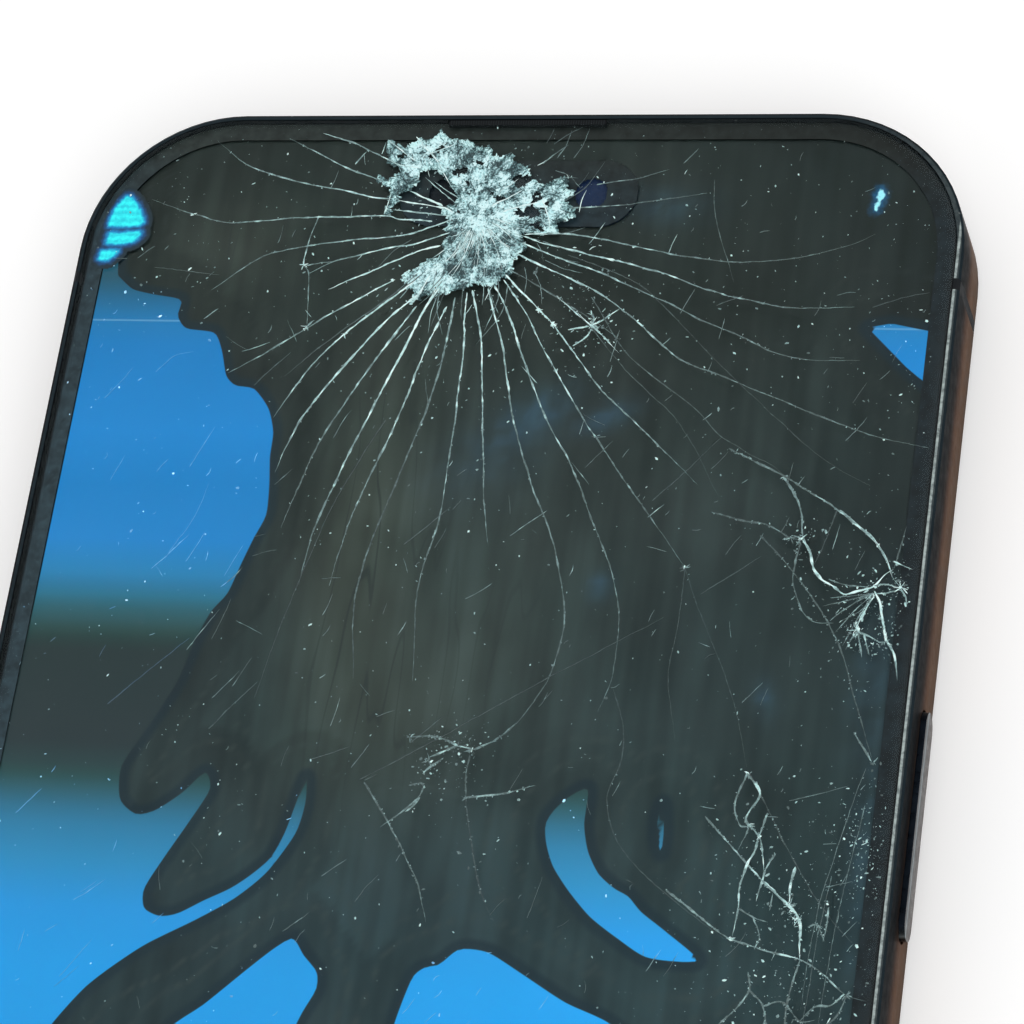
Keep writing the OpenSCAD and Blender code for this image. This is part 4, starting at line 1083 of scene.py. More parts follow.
def glow_at(points, seed):
    """How bright a crack is at each point: high near either blow, with random beads of painted
    glint.
    """
    first, second, net = (np.hypot(points[:, 0] - x, points[:, 1] - y)
                          for x, y in (impact, SECOND_BLOW, NET_MIDDLE))
    near = 0.33 + 0.62 * np.exp(-(first / 18) ** 1.8) + 0.42 * np.exp(-(second / 8) ** 2)
    near += 0.22 * np.exp(-(net / 9) ** 2)
    beads = lattice_noise(points[:, 0], points[:, 1], 0.5, seed)
    glint = smooth_step((beads - 0.66) / 0.2)
    return np.clip(near * (0.60 + 0.45 * beads) + 0.40 * near * glint, 0, 1)


def over_island(x, y):
    """1 where a point lies over a glowing island, 0 elsewhere, and little in the dark band."""
    band = 1 - 0.88 * np.exp(-((y - 26.5) / 7.0) ** 4)
    return band * smooth_step(np.max([inside_distance(x, y, o) for o in islands], axis=0) / 0.1)


def crack_finish():
    """Air in glass: its own pale colour with painted highlights, dark grey-teal where it turns
    away, pale cyan-white where it shines.
    """
    f = Finish("crack", {"Roughness": 0.3, "Specular IOR Level": 0.3, "Emission Strength": 1.0})
    glow = f.math("ADD", f.attribute("glow"), f.clouds(-0.10, 0.10, 0.22))
    colours = [(0.08, (0.045, 0.060, 0.066)), (0.30, (0.105, 0.145, 0.148)),
               (0.50, (0.23, 0.34, 0.35)), (0.72, (0.53, 0.76, 0.77)), (0.95, (0.80, 0.98, 0.98))]
    f.feed("Base Color", f.ramp(glow, colours))
    # Painted glow: cracks over a lit island get pale blue emission for the display light they
    # scatter.
    f.feed("Emission Color", f.blend(f.attribute("island"), (0.0, 0.0, 0.0), (0.015, 0.20, 0.52)))
    f.bump(f.noise(0.2), 0.02, 0.3)
    return f.material


def crack_piece(name, cracks, wider=1.0):
    """One piece from many cracks, each given as (strength, width, points)."""
    all_points, all_faces, all_glow, count = [], [], [], 0
    for number, (strength, width, line) in enumerate(cracks):
        points, faces = crack_wedge(line, wider * width, 0.10, 3 * number, 0.0012 * (number % 17))
        all_faces += [tuple(c + count for c in f) for f in faces]
        all_points.append(points)
        all_glow.append(strength * glow_at(points, 90 + number % 7))
        count += len(points)
    points = np.concatenate(all_points)
    piece = make_piece(name, points, all_faces, crack_material)
    store(piece, "glow", np.concatenate(all_glow))
    store(piece, "island", over_island(points[:, 0], points[:, 1]))


crack_material = crack_finish()

# %% [markdown]
# ## Where the cracks run
# The long cracks start round the crater and bend as they go. Their points are millimetres from
# the middle of the phone, and each crack also has a strength and a width. The first list holds
# those that leave the crater to the left and down, the second those to the right.

# %% Cracks that leave the crater
CRACKS_LEFT = [
    (1.0, 0.11, [(-12.4, 75.8), (-13.5, 76.3), (-15, 77), (-18, 78)]),
    (1.0, 0.10, [(-11, 71.7), (-12.5, 71.8), (-15, 72.4), (-20, 73.4), (-24.5, 75),
                 (-27.5, 77.3)]),
    (1.0, 0.11, [(-6.9, 69.5), (-8, 69.6), (-10, 69.7), (-11, 70), (-15, 69.9), (-20, 69.7),
                 (-25, 69.3), (-28, 70), (-32.5, 71.5)]),
    (0.9, 0.10, [(-11.8, 73.3), (-13, 73.8), (-15, 74.5), (-18, 76), (-21, 77.5)]),
    (0.9, 0.10, [(-5.3, 69.6), (-7, 68.9), (-9, 68.2), (-13.5, 67.7), (-18, 67), (-21.5, 66),
                 (-25.5, 62.8)]),
    (0.9, 0.10, [(-5.2, 68.4), (-8.2, 67.3), (-10, 67), (-15, 65.6), (-17, 64.5)]),
    (1.3, 0.12, [(-5.8, 67.2), (-7, 66.9), (-8.5, 66.3), (-11, 65), (-15, 63)]),
    (1.0, 0.11, [(-9.3, 64), (-12, 62.2), (-15, 60.3), (-18.5, 57.7), (-22.5, 55)]),
    (1.2, 0.12, [(-7.5, 63.9), (-10.4, 61.2), (-12.9, 58.8), (-15.5, 55.5), (-17.8, 51)]),
    (0.8, 0.08, [(-17, 70), (-17.5, 67.5), (-17.6, 65.5), (-17, 64.5), (-16.6, 61.5),
                 (-16.3, 59.5)]),
    (0.7, 0.07, [(-17.6, 65.2), (-16, 65.5), (-15, 65.6)]),
    (1.3, 0.16, [(-7.1, 62.5), (-8.9, 60.7), (-10.7, 58.4), (-13, 55), (-15.5, 50.5),
                 (-16.8, 46)]),
    (0.9, 0.12, [(-7.0, 61.5), (-8.3, 59.1), (-10.8, 54.5), (-13.5, 48.5), (-15.4, 41)]),
    (1.3, 0.15, [(-5.3, 63.2), (-6.4, 60.8), (-7.1, 58.5), (-9.3, 52), (-12.3, 42), (-13, 36)]),
    (1.2, 0.13, [(-4.4, 61.5), (-5, 59.5), (-5.7, 57), (-7, 51), (-9.5, 42), (-10.4, 36)]),
    (0.7, 0.13, [(-3.8, 62.3), (-3.9, 58), (-4.6, 52), (-7.2, 41), (-8, 35), (-7, 28)]),
    (1.1, 0.11, [(-2.8, 62.8), (-2.6, 60), (-2.3, 58), (-2, 49), (-2, 42), (-2.8, 36), (-2, 28)]),
    (1.1, 0.12, [(-2.4, 63), (-1.5, 60.5), (-0.8, 58), (0.5, 50), (1.5, 44), (2.5, 40)]),
    (0.4, 0.07, [(-7, 64.4), (-11, 61), (-15, 57.4), (-17.5, 54.8)]),
    (0.3, 0.06, [(-8, 51), (-11, 44), (-12.6, 38), (-14, 32), (-15, 26)])]
CRACKS_RIGHT = [
    (1.0, 0.11, [(-1, 63.2), (0, 60.4), (1, 58), (3, 51), (5.5, 45), (7.6, 41), (9.3, 36),
                 (9.8, 33), (9.1, 28.6), (7.2, 24.9), (5.6, 23.3), (3.9, 22.4)]),
    (1.0, 0.11, [(-0.5, 63.5), (1, 61), (2.4, 58), (5.6, 51.5), (8.5, 47), (11, 42), (13, 38),
                 (14.2, 34), (14.3, 29), (13.5, 26)]),
    (0.4, 0.07, [(14.5, 28), (15.7, 25), (16, 22), (15.3, 19), (16.5, 15.5), (19.5, 12.5),
                 (23, 10), (26, 8)]),
    (1.0, 0.10, [(0.2, 64), (2.4, 61.2), (4, 58.6), (8, 52.5), (13, 46), (17, 41), (19, 38.5)]),
    (0.35, 0.06, [(19, 38.5), (19, 34), (18.8, 29), (20, 24)]),
    (0.35, 0.06, [(19, 38.5), (20.5, 35), (24, 28), (26, 22)]),
    (1.2, 0.11, [(0.3, 64.5), (3.6, 61.3), (5, 60), (6.5, 58.2), (10, 54), (15, 49.5),
                 (19, 45.8)]),
    (0.5, 0.08, [(0.6, 65), (4, 63), (8, 60.6), (11, 58.6)]),
    (1.0, 0.10, [(1, 66.5), (3.6, 65.2), (8, 63.2), (12, 60.4), (16, 57), (21, 55), (27, 52.5),
                 (33, 50.3), (37.4, 49.4)]),
    (0.9, 0.10, [(1.3, 67.5), (5, 66), (9, 64.5), (14.5, 62), (17, 60.7), (21, 59), (24, 57.6),
                 (27, 57), (31, 57)]),
    (1.1, 0.11, [(1.3, 68.1), (3.8, 67.3), (7.5, 66.4), (10, 65.8), (14.5, 64.5), (17.5, 63.3),
                 (21.5, 62.3), (25, 61.7), (30, 61.8)]),
    (0.8, 0.09, [(2, 68.3), (5, 68.4), (9, 67.7), (15, 66.4), (20, 65.8), (25, 66.3), (29, 67.5),
                 (31, 68.5)]),
    (0.6, 0.08, [(5, 70.8), (10, 71.2), (16.5, 72.3)]),
    (0.6, 0.07, [(7, 73), (9, 73.4), (11, 73.8), (13, 74.5)]),
    (0.6, 0.07, [(2, 75), (3.1, 76.1), (4, 76.8)]),
    (0.5, 0.07, [(8, 62.5), (12, 57), (18, 52.5), (20.5, 50), (25, 47.5), (26, 46.7)]),
    (0.4, 0.06, [(2.5, 64), (7, 61), (12, 55.6), (17, 51), (21.2, 44.3)]),
    (0.3, 0.06, [(5.4, 66.4), (12, 63.6), (19, 57), (28, 49), (33, 46)])]
print("long cracks:", len(CRACKS_LEFT) + len(CRACKS_RIGHT))

# %% [markdown]
# ## Broken edges in the crater
# Plates of glass still hang in the crater, and their straight edges catch the light as the
# brightest lines of all, drawn as cracks with a strong painted highlight. Others cross the dark
# hollow to its left, like spokes to the centre of the star.

# %% Bright edges in the crater
CRATER_EDGES = [
    (1.3, 0.14, [(-12, 77.3), (-10.2, 76), (-9, 75.2)]),
    (1.3, 0.12, [(-9.6, 77.6), (-8.8, 76.9)]),
    (1.2, 0.12, [(-9, 77), (-7.5, 75.5), (-6.5, 74), (-5.6, 72.7)]),
    (1.2, 0.12, [(-8.3, 75.9), (-7.1, 76.4), (-6, 76.9)]),
    (1.1, 0.13, [(-12.4, 75.8), (-10.8, 75), (-10, 74.8), (-8.7, 74.6)]),
    (0.9, 0.10, [(-12.4, 76), (-12.2, 77.2)]),
    (1.0, 0.11, [(-14.6, 75), (-13.8, 76.2)]),
    (0.9, 0.09, [(-13.7, 75), (-14, 76)]),
    (1.2, 0.16, [(-6.2, 71), (-7.5, 71.6), (-9.3, 72.4)]),
    (1.2, 0.13, [(-5.9, 70.7), (-8, 71.1), (-10.3, 71.5)]),
    (0.7, 0.10, [(-5.2, 71.3), (-6.9, 72.7), (-8.2, 73.8)]),
    (0.7, 0.10, [(-5, 71.8), (-6, 72.4), (-7.3, 73.3)]),
    (0.8, 0.12, [(-5.2, 70), (-8, 70.3), (-10.6, 70.6)]),
    (1.4, 0.15, [(-5.2, 70.4), (-6, 70.8), (-6.8, 70.9)]),
    (1.1, 0.12, [(-11.2, 70.2), (-11, 71.6), (-10.9, 72.3)]),
    (1.3, 0.18, [(-6.3, 64.4), (-7, 62.6), (-7.4, 61.7)]),
    (1.2, 0.16, [(-5.4, 63.6), (-5.9, 62.2), (-6.3, 61)]),
    (1.2, 0.12, [(-0.8, 70.4), (0.8, 71), (2.6, 71.5)]),
    (1.1, 0.12, [(-2, 71), (-0.4, 71.8), (0.6, 72.6)]),
    (1.2, 0.12, [(2.4, 71.6), (3.2, 70), (3.6, 68.6)]),
    (1.1, 0.11, [(1.4, 68.3), (2.4, 68.4), (3.4, 68.3)])]

# %% [markdown]
# ## Cracks at the side
# A second, lighter blow hit the right edge. Its cracks are short and curl back on themselves.
# Lower down, a net of fine cracks crosses the corner of the screen, and a small star sits in the
# middle.

# %% Cracks of the second blow, the net and the star
CRACKS_EDGE = [
    (1.0, 0.10, [(21.2, 49), (26, 46.7), (30.6, 43.9), (32.3, 42.6), (33.7, 41.5), (34.7, 40.2),
                 (35.6, 38.3), (36.4, 37.4)]),
    (1.3, 0.13, [(30.8, 43.8), (32.3, 42.6), (33.7, 41.5), (34.7, 40.2), (35.6, 38.4)]),
    (1.2, 0.13, [(26, 46.6), (27, 45.2), (27.8, 43.5), (28.1, 41.6), (28.9, 40.1)]),
    (0.8, 0.10, [(20.5, 43.4), (23.1, 42.7), (24.8, 42.5), (26, 42), (27, 41.4), (28, 41.2)]),
    (1.3, 0.14, [(28.2, 41.2), (28.9, 40.1), (29.3, 38.8), (30, 37.9), (31, 37.3), (32, 36.6),
                 (33.1, 37), (34.2, 37.4), (35, 38.4), (35.6, 38.9)]),
    (0.8, 0.08, [(30.6, 37.9), (31.9, 37.5), (33.7, 37.3)]),
    (0.4, 0.06, [(30.6, 43.9), (30, 41.4), (29.3, 39)]),
    (0.7, 0.07, [(34.4, 36.9), (32.6, 36.2), (30.4, 35.6)]),
    (0.7, 0.07, [(34.2, 36.8), (32.6, 35.8), (31.1, 34.4)]),
    (0.7, 0.06, [(34.2, 36.7), (32.9, 35.2), (31.6, 33.4)]),
    (0.7, 0.06, [(34.3, 36.7), (33.3, 34.8), (32.3, 32.3)]),
    (0.6, 0.06, [(34.3, 36.6), (33.4, 35.3), (32, 34.4)]),
    (0.6, 0.05, [(34.3, 36.8), (32.4, 36.5), (30.9, 36.3)]),
    (1.2, 0.12, [(34.3, 37), (34.9, 36), (35.2, 34.7), (35.7, 33), (36.4, 31.8), (36.9, 29.6)]),
    (1.2, 0.12, [(34.3, 36.7), (33.5, 34.7), (33.3, 33.7), (34.3, 33.2), (35.4, 32.6)]),
    (1.0, 0.10, [(33.3, 33.7), (33.6, 32.6), (33.9, 31.4)]),
    (0.9, 0.08, [(33.4, 33.6), (32.9, 32.8), (32.6, 32)]),
    (0.9, 0.08, [(33.8, 33.4), (34.2, 32.4), (34.5, 31.6)]),
    (0.9, 0.09, [(36.4, 37.3), (36.8, 36.6), (37, 35.7)]),
    (0.9, 0.08, [(34.2, 37.4), (35.2, 37.6), (36.3, 37.4)]),
    (0.9, 0.08, [(34.4, 36.8), (35.4, 36.9), (36.3, 37.2)]),
    (0.8, 0.08, [(35.6, 39.6), (36.4, 39.2), (37.1, 38.9)]),
    (0.6, 0.07, [(35.7, 39), (36, 40.8), (36.3, 42.6)]),
    (0.9, 0.10, [(28, 41), (27.8, 39.5), (27.8, 37.5), (28.7, 35.3), (29.8, 34.3), (31.4, 34.2)]),
    (0.6, 0.08, [(24.7, 41.5), (27, 39.2), (29.5, 36.2), (30.7, 34.6), (32.4, 31.5), (34.1, 27),
                 (35.7, 22.9)])]
CRACKS_NET = [
    (1.3, 0.13, [(26.1, 21.5), (27.3, 19.9), (26.7, 18.5), (26.4, 17.6), (27.6, 16.4), (28, 15.2),
                 (28.3, 13.6)]),
    (1.0, 0.09, [(26.1, 21.5), (25.4, 18.8), (26, 17.2), (26.7, 17), (26.1, 15.2)]),
    (1.2, 0.12, [(28.1, 18.3), (27.6, 16.5), (27.4, 15.2), (26.9, 14), (26.6, 12.2), (26.7, 10.6),
                 (26.5, 8.2)]),
    (0.4, 0.06, [(26.2, 21.6), (29.7, 15.9), (32.1, 12.3), (34.1, 9.9), (35.8, 8.2)]),
    (1.1, 0.10, [(23.2, 17.8), (25.9, 15.2), (28.3, 12.8), (30.5, 11)]),
    (1.5, 0.16, [(28.3, 12.8), (29.4, 12), (30.5, 11), (31.5, 9.8), (31.9, 6.8)]),
    (0.9, 0.09, [(31.9, 6.8), (31.5, 4.5), (31.3, 2.4), (31.5, -3)]),
    (1.2, 0.12, [(30.7, 14.1), (30.5, 12.6), (30.6, 11.2)]),
    (1.1, 0.10, [(29, 15.1), (28.4, 13.8), (28.3, 12.8), (28, 11.2)]),
    (0.9, 0.08, [(29.2, 11.9), (29.1, 10.5)]),
    (0.9, 0.08, [(26.7, 10.6), (28, 9.9), (29.1, 9.6)]),
    (0.9, 0.08, [(28, 9.9), (28.6, 8.4), (28.3, 7.4)]),
    (1.1, 0.10, [(20.9, 11.7), (24.6, 9.2), (26.4, 8.1), (29.4, 7.3), (31.9, 6.8), (33.7, 5.8),
                 (35.6, 4.3), (37.2, 3.9)]),
    (1.1, 0.10, [(28.1, 5.6), (28.3, 4.2), (27.5, 2.7), (26, 1)]),
    (0.9, 0.09, [(28.3, 4.2), (29.5, 3), (30, 1)]),
    (0.9, 0.08, [(32.2, 9.4), (32.9, 9.6), (33.6, 8.3)]),
    (1.0, 0.09, [(33.6, 11), (33.6, 9.6), (33.5, 8.3)]),
    (1.1, 0.10, [(35.6, 4.3), (34.6, 3.4), (33.5, 3.2), (32.4, 2)]),
    (0.9, 0.09, [(35.8, 4.2), (35.2, 2.6), (34.2, 1.4), (33.6, -0.6)]),
    (0.9, 0.08, [(29.5, 3), (31, 3.4), (32.4, 2), (33.6, 2.2)]),
    (1.2, 0.10, [(34, 25.2), (34.8, 24), (35.7, 22.8)])]
CRACKS_STAR = [
    (1.6, 0.13, [(3.9, 22.4), (2.6, 22.7), (1.6, 22.2), (0.4, 21.6)]),
    (1.4, 0.11, [(2.6, 22.7), (1.4, 23.2), (0.2, 23.4), (-1.6, 23.2)]),
    (1.4, 0.12, [(1.6, 21.6), (0.6, 20.8), (0.1, 20.2)]),
    (1.2, 0.09, [(-0.9, 19.2), (0.2, 19.4), (0.1, 18.4), (-1, 17.1), (-2.7, 15.6)]),
    (1.5, 0.13, [(0.2, 18.2), (-0.4, 17.4), (-0.9, 17)]),
    (1.0, 0.09, [(3.7, 22), (3.6, 20.4), (3.9, 18.4)]),
    (1.3, 0.11, [(3.9, 18.4), (6.5, 18.8), (9.4, 19.7)]),
    (0.5, 0.07, [(3.9, 18.3), (4.6, 15.8), (6.2, 10.9), (7.7, 8.4)]),
    (1.4, 0.10, [(3.9, 22.4), (5.6, 23.3), (7.1, 24.8)]),
    (1.1, 0.09, [(-4.6, 19.3), (-2.1, 16.1), (-0.3, 13.4), (1.3, 10.7), (2.2, 8.1)]),
    (1.3, 0.09, [(5, 62.6), (7.4, 60.6), (9.4, 59), (11, 57.4)]),
    (1.3, 0.10, [(6.4, 59.4), (8.6, 60), (10.5, 61.5)]),
    (1.2, 0.09, [(7, 58), (8.2, 59), (8.4, 60.6), (7.8, 61)])]
crack_piece("long_cracks", CRACKS_LEFT + CRACKS_RIGHT, 1.2)
crack_piece("crater_edges", CRATER_EDGES)
crack_piece("edge_and_net_cracks", CRACKS_EDGE + CRACKS_NET + CRACKS_STAR, 1.45)

# %% [markdown]
# ## Short rays round the crater
# Between the long cracks, many short ones stop within a few millimetres. They follow one rule, so
# a loop makes them: each starts at the crater's edge on a seeded ray from the star, runs outwards
# and bends a little. The same rule, with small numbers, makes the little bursts where cracks
# meet.

# %% Short rays and little bursts
def ray_cracks(centre, start, reach, count, width, strength, seed, arc=(0, 360)):
    """Cracks along rays: each runs from start to start + reach at its own angle, and bends."""
    rng = np.random.default_rng(seed)
    made = []
    for angle in np.radians(rng.uniform(*arc, count)):
        r = np.array([0, 0.5, 1.0]) * reach * rng.uniform(0.25, 1) + start * rng.uniform(0.8, 1.1)
        bent = angle + np.array([0, 0.4, 1.0]) * rng.normal(0, 0.15)
        line = centre + np.column_stack([np.cos(bent), np.sin(bent)]) * r[:, None]
        made.append((strength * rng.uniform(0.6, 1.1), width * rng.uniform(0.6, 1.2),
                     line.tolist()))
    return made


def along_cracks(cracks, per_mm, spread, seed):
    """Random places along cracks: even along each curve, and a hair to either side of it."""
    rng = np.random.default_rng(seed)
    places = []
    for strength, _, line in cracks:
        curve, run = measured_line(line)
        s = rng.uniform(0, run[-1] * 0.85, rng.poisson(run[-1] * per_mm * strength))
        places.append(np.column_stack([np.interp(s, run, curve[:, 0]),
                                       np.interp(s, run, curve[:, 1])]))
    places = np.concatenate(places)
    return places + rng.normal(0, spread, places.shape)


BURSTS = [(-17.6, 65.3, 0.6), (-16.3, 59.5, 0.8), (-12.9, 58.8, 0.5), (19, 38.5, 0.5),
          (28, 41.3, 0.9), (27.1, 41.4, 0.7), (36.4, 37.4, 0.8), (33.3, 33.7, 0.9),
          (35.6, 32.8, 0.7), (26, 46.6, 0.5), (3.8, 22.4, 0.8), (0.4, 21.4, 0.7),
          (-1.4, 23.2, 0.6), (8.3, 60, 0.9), (5, 60, 0.5), (26.2, 21.4, 0.5), (26.6, 17.2, 0.6),
          (30.6, 11, 0.7), (31.4, 9.9, 0.6), (32.9, 9.6, 0.5), (26.4, 8.1, 0.5),
          (35.7, 4.2, 0.6), (35.8, 22.8, 0.5), (3.9, 18.4, 0.4), (3.6, 61.3, 0.5)]
short = ray_cracks(star, 7.2, 5, 20, 0.07, 0.7, 101, (200, 345))
short += ray_cracks(star, 8.6, 4, 8, 0.06, 0.5, 102, (0, 60))
short += ray_cracks(star, 1.8, 5.0, 46, 0.06, 1.1, 103, (238, 345))
for number, (sx, sy, reach) in enumerate(BURSTS):
    short += ray_cracks(np.array([sx, sy]), 0.02, reach, 7, 0.08, 1.6, 110 + number)
crack_piece("short_cracks", short)

# %% [markdown]
# ## Scratches
# Scratches lie on the surface, so they are straighter and finer than cracks and ignore the crater.
# The long ones that catch the eye are listed one by one. Hundreds of hairlines are scattered by a
# seeded rule: most lean the same way, as a pocket or a table rubs a phone along its length.

# %% Scratches
SCRATCHES = [
    (0.55, 0.06, [(-5, 19.5), (2, 24), (9.5, 29), (17.8, 34.2)]),
    (0.65, 0.07, [(-4.6, 39.8), (-3, 41.4), (-1.2, 43.3)]),
    (0.55, 0.07, [(-27.5, 25), (-24.6, 28), (-21.5, 31)]),
    (0.55, 0.06, [(20.5, 36.3), (22.8, 38), (25, 39.7)]),
    (0.5, 0.06, [(15.5, 44.3), (18, 47), (20.5, 50)]),
    (0.55, 0.06, [(17, 73.5), (17.5, 70), (19.8, 64)]),
    (0.5, 0.05, [(31.5, 61.8), (33.6, 62.6), (36, 63.2)]),
    (0.9, 0.05, [(35.2, 22.3), (32.9, 11.4), (32.4, 2.9)]),
    (0.8, 0.05, [(35.5, 19.3), (34.6, 12.4), (34.1, 6.9), (33.8, 1)]),
    (0.7, 0.05, [(33.6, 13.5), (33, 8), (32.6, 0)]),
    (0.6, 0.05, [(-31, 65), (-28, 64.6), (-25, 64.3)]),
    (0.9, 0.05, [(29.6, 19.4), (31.6, 20), (34, 20.8)]),
    (0.9, 0.05, [(33.2, 12.6), (34.2, 12.9), (35.2, 13.2)]),
    (0.7, 0.05, [(-9.4, 21), (-7.9, 21.6), (-6.4, 22.2)]),
    (0.9, 0.07, [(-18.4, 23.2), (-16.6, 25.6), (-15, 27.4)]),
    (0.8, 0.06, [(-17.4, 38.4), (-16.4, 38.8), (-15.4, 39)]),
    (0.8, 0.06, [(-19.6, 31), (-19, 33), (-18.6, 34.6)]),
    (0.45, 0.05, [(-29, 55), (-27.6, 56.6), (-26, 57)]),
    (0.45, 0.05, [(-25, 38), (-23, 42), (-22.4, 45)])]


def hairlines(count, seed):
    """Short straight hairlines, most of them leaning 50 to 75 degrees from the phone's width."""
    rng = np.random.default_rng(seed)
    x = rng.uniform(-36, 36, count)
    y = rng.uniform(-76, 76, count)
    lean = np.radians(np.where(rng.random(count) < 0.65, rng.normal(58, 14, count),
                               rng.uniform(0, 180, count)))
    reach = rng.gamma(1.6, 0.7, count).clip(0.3, 6)
    made = []
    for number in range(count):
        spot = np.array([x[number], y[number]])
        step = np.array([math.cos(lean[number]), math.sin(lean[number])]) * reach[number] / 2
        start, end = spot - step, spot + step
        if edge_distance(*start, glass_w, glass_l, GLASS_R) > 1 < edge_distance(
                *end, glass_w, glass_l, GLASS_R):
            middle = (start + end) / 2 + rng.normal(0, 0.05, 2)
            made.append((rng.uniform(0.5, 1.6), rng.uniform(0.025, 0.055),
                         [start.tolist(), middle.tolist(), end.tolist()]))
    return made


crack_piece("scratches", SCRATCHES + hairlines(560, 131))

# %% [markdown]
# ## Dust and glass crumbs
# Crumbs and dust lie all over a broken screen, thickest round the crater, along the second blow
# and down the right edge. Each speck is a tiny five-sided pyramid. Where they fall is a seeded
# choice: clouds of specks round a few places, and a thin even scatter over the rest. They are
# pressed into the surface, so the phone grows no thicker.

# %% Specks
def specks(name, centres, sizes, bright, seed):
    """Five-sided pyramids with uneven corners: five points at the foot and one raised."""
    rng = np.random.default_rng(seed)
    count = len(centres)
    turn = np.linspace(0, 2 * math.pi, 6)[:-1] + rng.uniform(0, 2 * math.pi, (count, 1))
    reach = sizes[:, None] * rng.uniform(0.55, 1.2, (count, 5))
    along = reach * np.cos(turn) * rng.uniform(0.9, 1.6, (count, 1))
    across = reach * np.sin(turn) * rng.uniform(0.3, 1.0, (count, 1))
    lean = rng.uniform(0, math.pi, (count, 1))
    x = np.hstack([centres[:, :1] + along * np.cos(lean) - across * np.sin(lean), centres[:, :1]])
    y = np.hstack([centres[:, 1:] + along * np.sin(lean) + across * np.cos(lean), centres[:, 1:]])
    z = np.hstack([np.full((count, 5), z_front - 0.05), np.full((count, 1), z_front - 0.004)])
    points = np.stack([x, y, z], axis=-1).reshape(-1, 3)
    offset = np.arange(count)[:, None] * 6
    faces = [tuple(f) for f in (np.array([[4, 3, 2, 1, 0]]) + offset)]
    for side in range(5):
        faces += [tuple(f) for f in (np.array([[side, (side + 1) % 5, 5]]) + offset)]
    piece = make_piece(name, points, faces, crack_material)
    store(piece, "glow", np.repeat(bright, 6))
    store(piece, "island", np.repeat(over_island(centres[:, 0], centres[:, 1]), 6))


rng = np.random.default_rng(141)
CLOUDS = [(*impact, 7, 520), (34, 35, 2.4, 260), (36.4, 16, 2, 420), (-30, 68, 5, 90),
          (29, 10, 4, 240), (2.4, 22, 1.8, 110), (35, 60, 5, 140), (8.3, 59.8, 1.4, 120),
          (30, -4, 7, 80), (28, 41.3, 0.8, 50), (33, 4, 2.4, 160), (20, 70, 7, 120),
          (36.1, 37.4, 0.4, 60), (34.3, 36.9, 0.7, 60), (33.3, 33.7, 0.5, 50), (30.5, 11, 0.4, 40),
          (31.3, 9.9, 0.35, 30), (3.2, 22.4, 0.6, 50), (0.4, 21.2, 0.5, 40), (35.3, 32.8, 0.5, 40)]
crumbs = [np.column_stack([rng.uniform(-36.8, 36.8, 2300), rng.uniform(-78, 78.6, 2300)])]
for cx, cy, spread, number in CLOUDS:
    crumbs.append(np.array([cx, cy]) + rng.normal(0, spread, (number, 2)) * np.array([1, 1.5]))
crumbs = np.concatenate(crumbs)
crumbs = crumbs[edge_distance(crumbs[:, 0], crumbs[:, 1], glass_w, glass_l, GLASS_R) > 0.5]
crumb_size = rng.gamma(2.0, 0.026, len(crumbs)).clip(0.02, 0.16)
specks("glass_crumbs", crumbs, crumb_size, 0.18 + 0.80 * rng.beta(1.5, 1.6, len(crumbs)), 142)
big = np.array([(24, 74), (-16.5, 59.2), (-29.6, 60.3), (8.1, 60.5), (-13.5, 67.4), (18.9, 38.6),
                (5.9, 67.1), (5, 60), (-12.9, 58.8), (36.3, 37.4), (33.4, 33.8), (-9.5, 63.9),
                (30.6, 11.1), (31.3, 10), (27.6, 16.3), (3.8, 22.4), (26.1, 21.5), (3.6, 61.3),
                (-28.4, 70.1), (-27.8, 64.8), (9.2, 66), (26.4, 8.1), (0.6, 21.3), (28, 41.3)],
               dtype=float)
specks("large_crumbs", big, np.linspace(0.15, 0.24, len(big)), np.full(len(big), 1.0), 143)
beads = np.concatenate([along_cracks(CRACKS_EDGE + CRACKS_NET + CRACKS_STAR, 6.0, 0.05, 144),
                        along_cracks(CRACKS_LEFT + CRACKS_RIGHT, 0.9, 0.07, 145)])
bead_size = rng.gamma(2.2, 0.022, len(beads)).clip(0.02, 0.12)
bead_glow = (0.25 + 0.8 * rng.beta(1.5, 1.5, len(beads))) * (0.45 + 0.7 * glow_at(beads, 97))
specks("crack_beads", beads, bead_size, bead_glow.clip(0, 1), 146)

# %% [markdown]
# ## Finishes for metal, plastic and glass
# The solids that kept their shape need finishes too, also the ones inside, because a part may be
# taken apart. A few recipes cover them, each with its own colour, grain and wear: coated metal,
# moulded plastic, circuit board, foil and so on. The colour variation is never left out, as even
# new metal differs a little from place to place.

# %% Recipes
def shaded(f, colour, low, high, size, detail=3):
    """A colour that a cloud noise darkens and lightens between two factors."""
    return f.scale(colour, f.clouds(low, high, size, detail, 0.6))


def metal_finish(name, colour, roughness, grain=(1, 1, 1)):
    """Metal with a drawn or blasted grain, a cloud of tarnish and rubbed bright specks."""
    f = Finish(name, {"Metallic": 1.0})
    base = shaded(f, colour, 0.88, 1.10, 3)
    rub = f.remap(f.cells(0.9), 0.02, 0.06, 0.35, 0)
    f.feed("Base Color", f.blend(rub, base, (0.62, 0.62, 0.60)))
    f.feed("Roughness", f.clouds(roughness - 0.05, roughness + 0.08, 1.5, 3))
    f.bump(f.noise(0.12, 2, 0.5, grain), 0.006, 0.5)
    return f.material


def plastic_finish(name, colour, roughness=0.5, size=0.15, gloss=0.4):
    """Moulded plastic: a fine spark-eroded texture and slightly uneven colour."""
    f = Finish(name, {"Specular IOR Level": gloss})
    f.feed("Base Color", shaded(f, colour, 0.85, 1.15, 2.5))
    f.feed("Roughness", f.clouds(roughness - 0.08, roughness + 0.08, 0.8))
    f.bump(f.noise(size, 3), 0.02, 0.4)
    return f.material


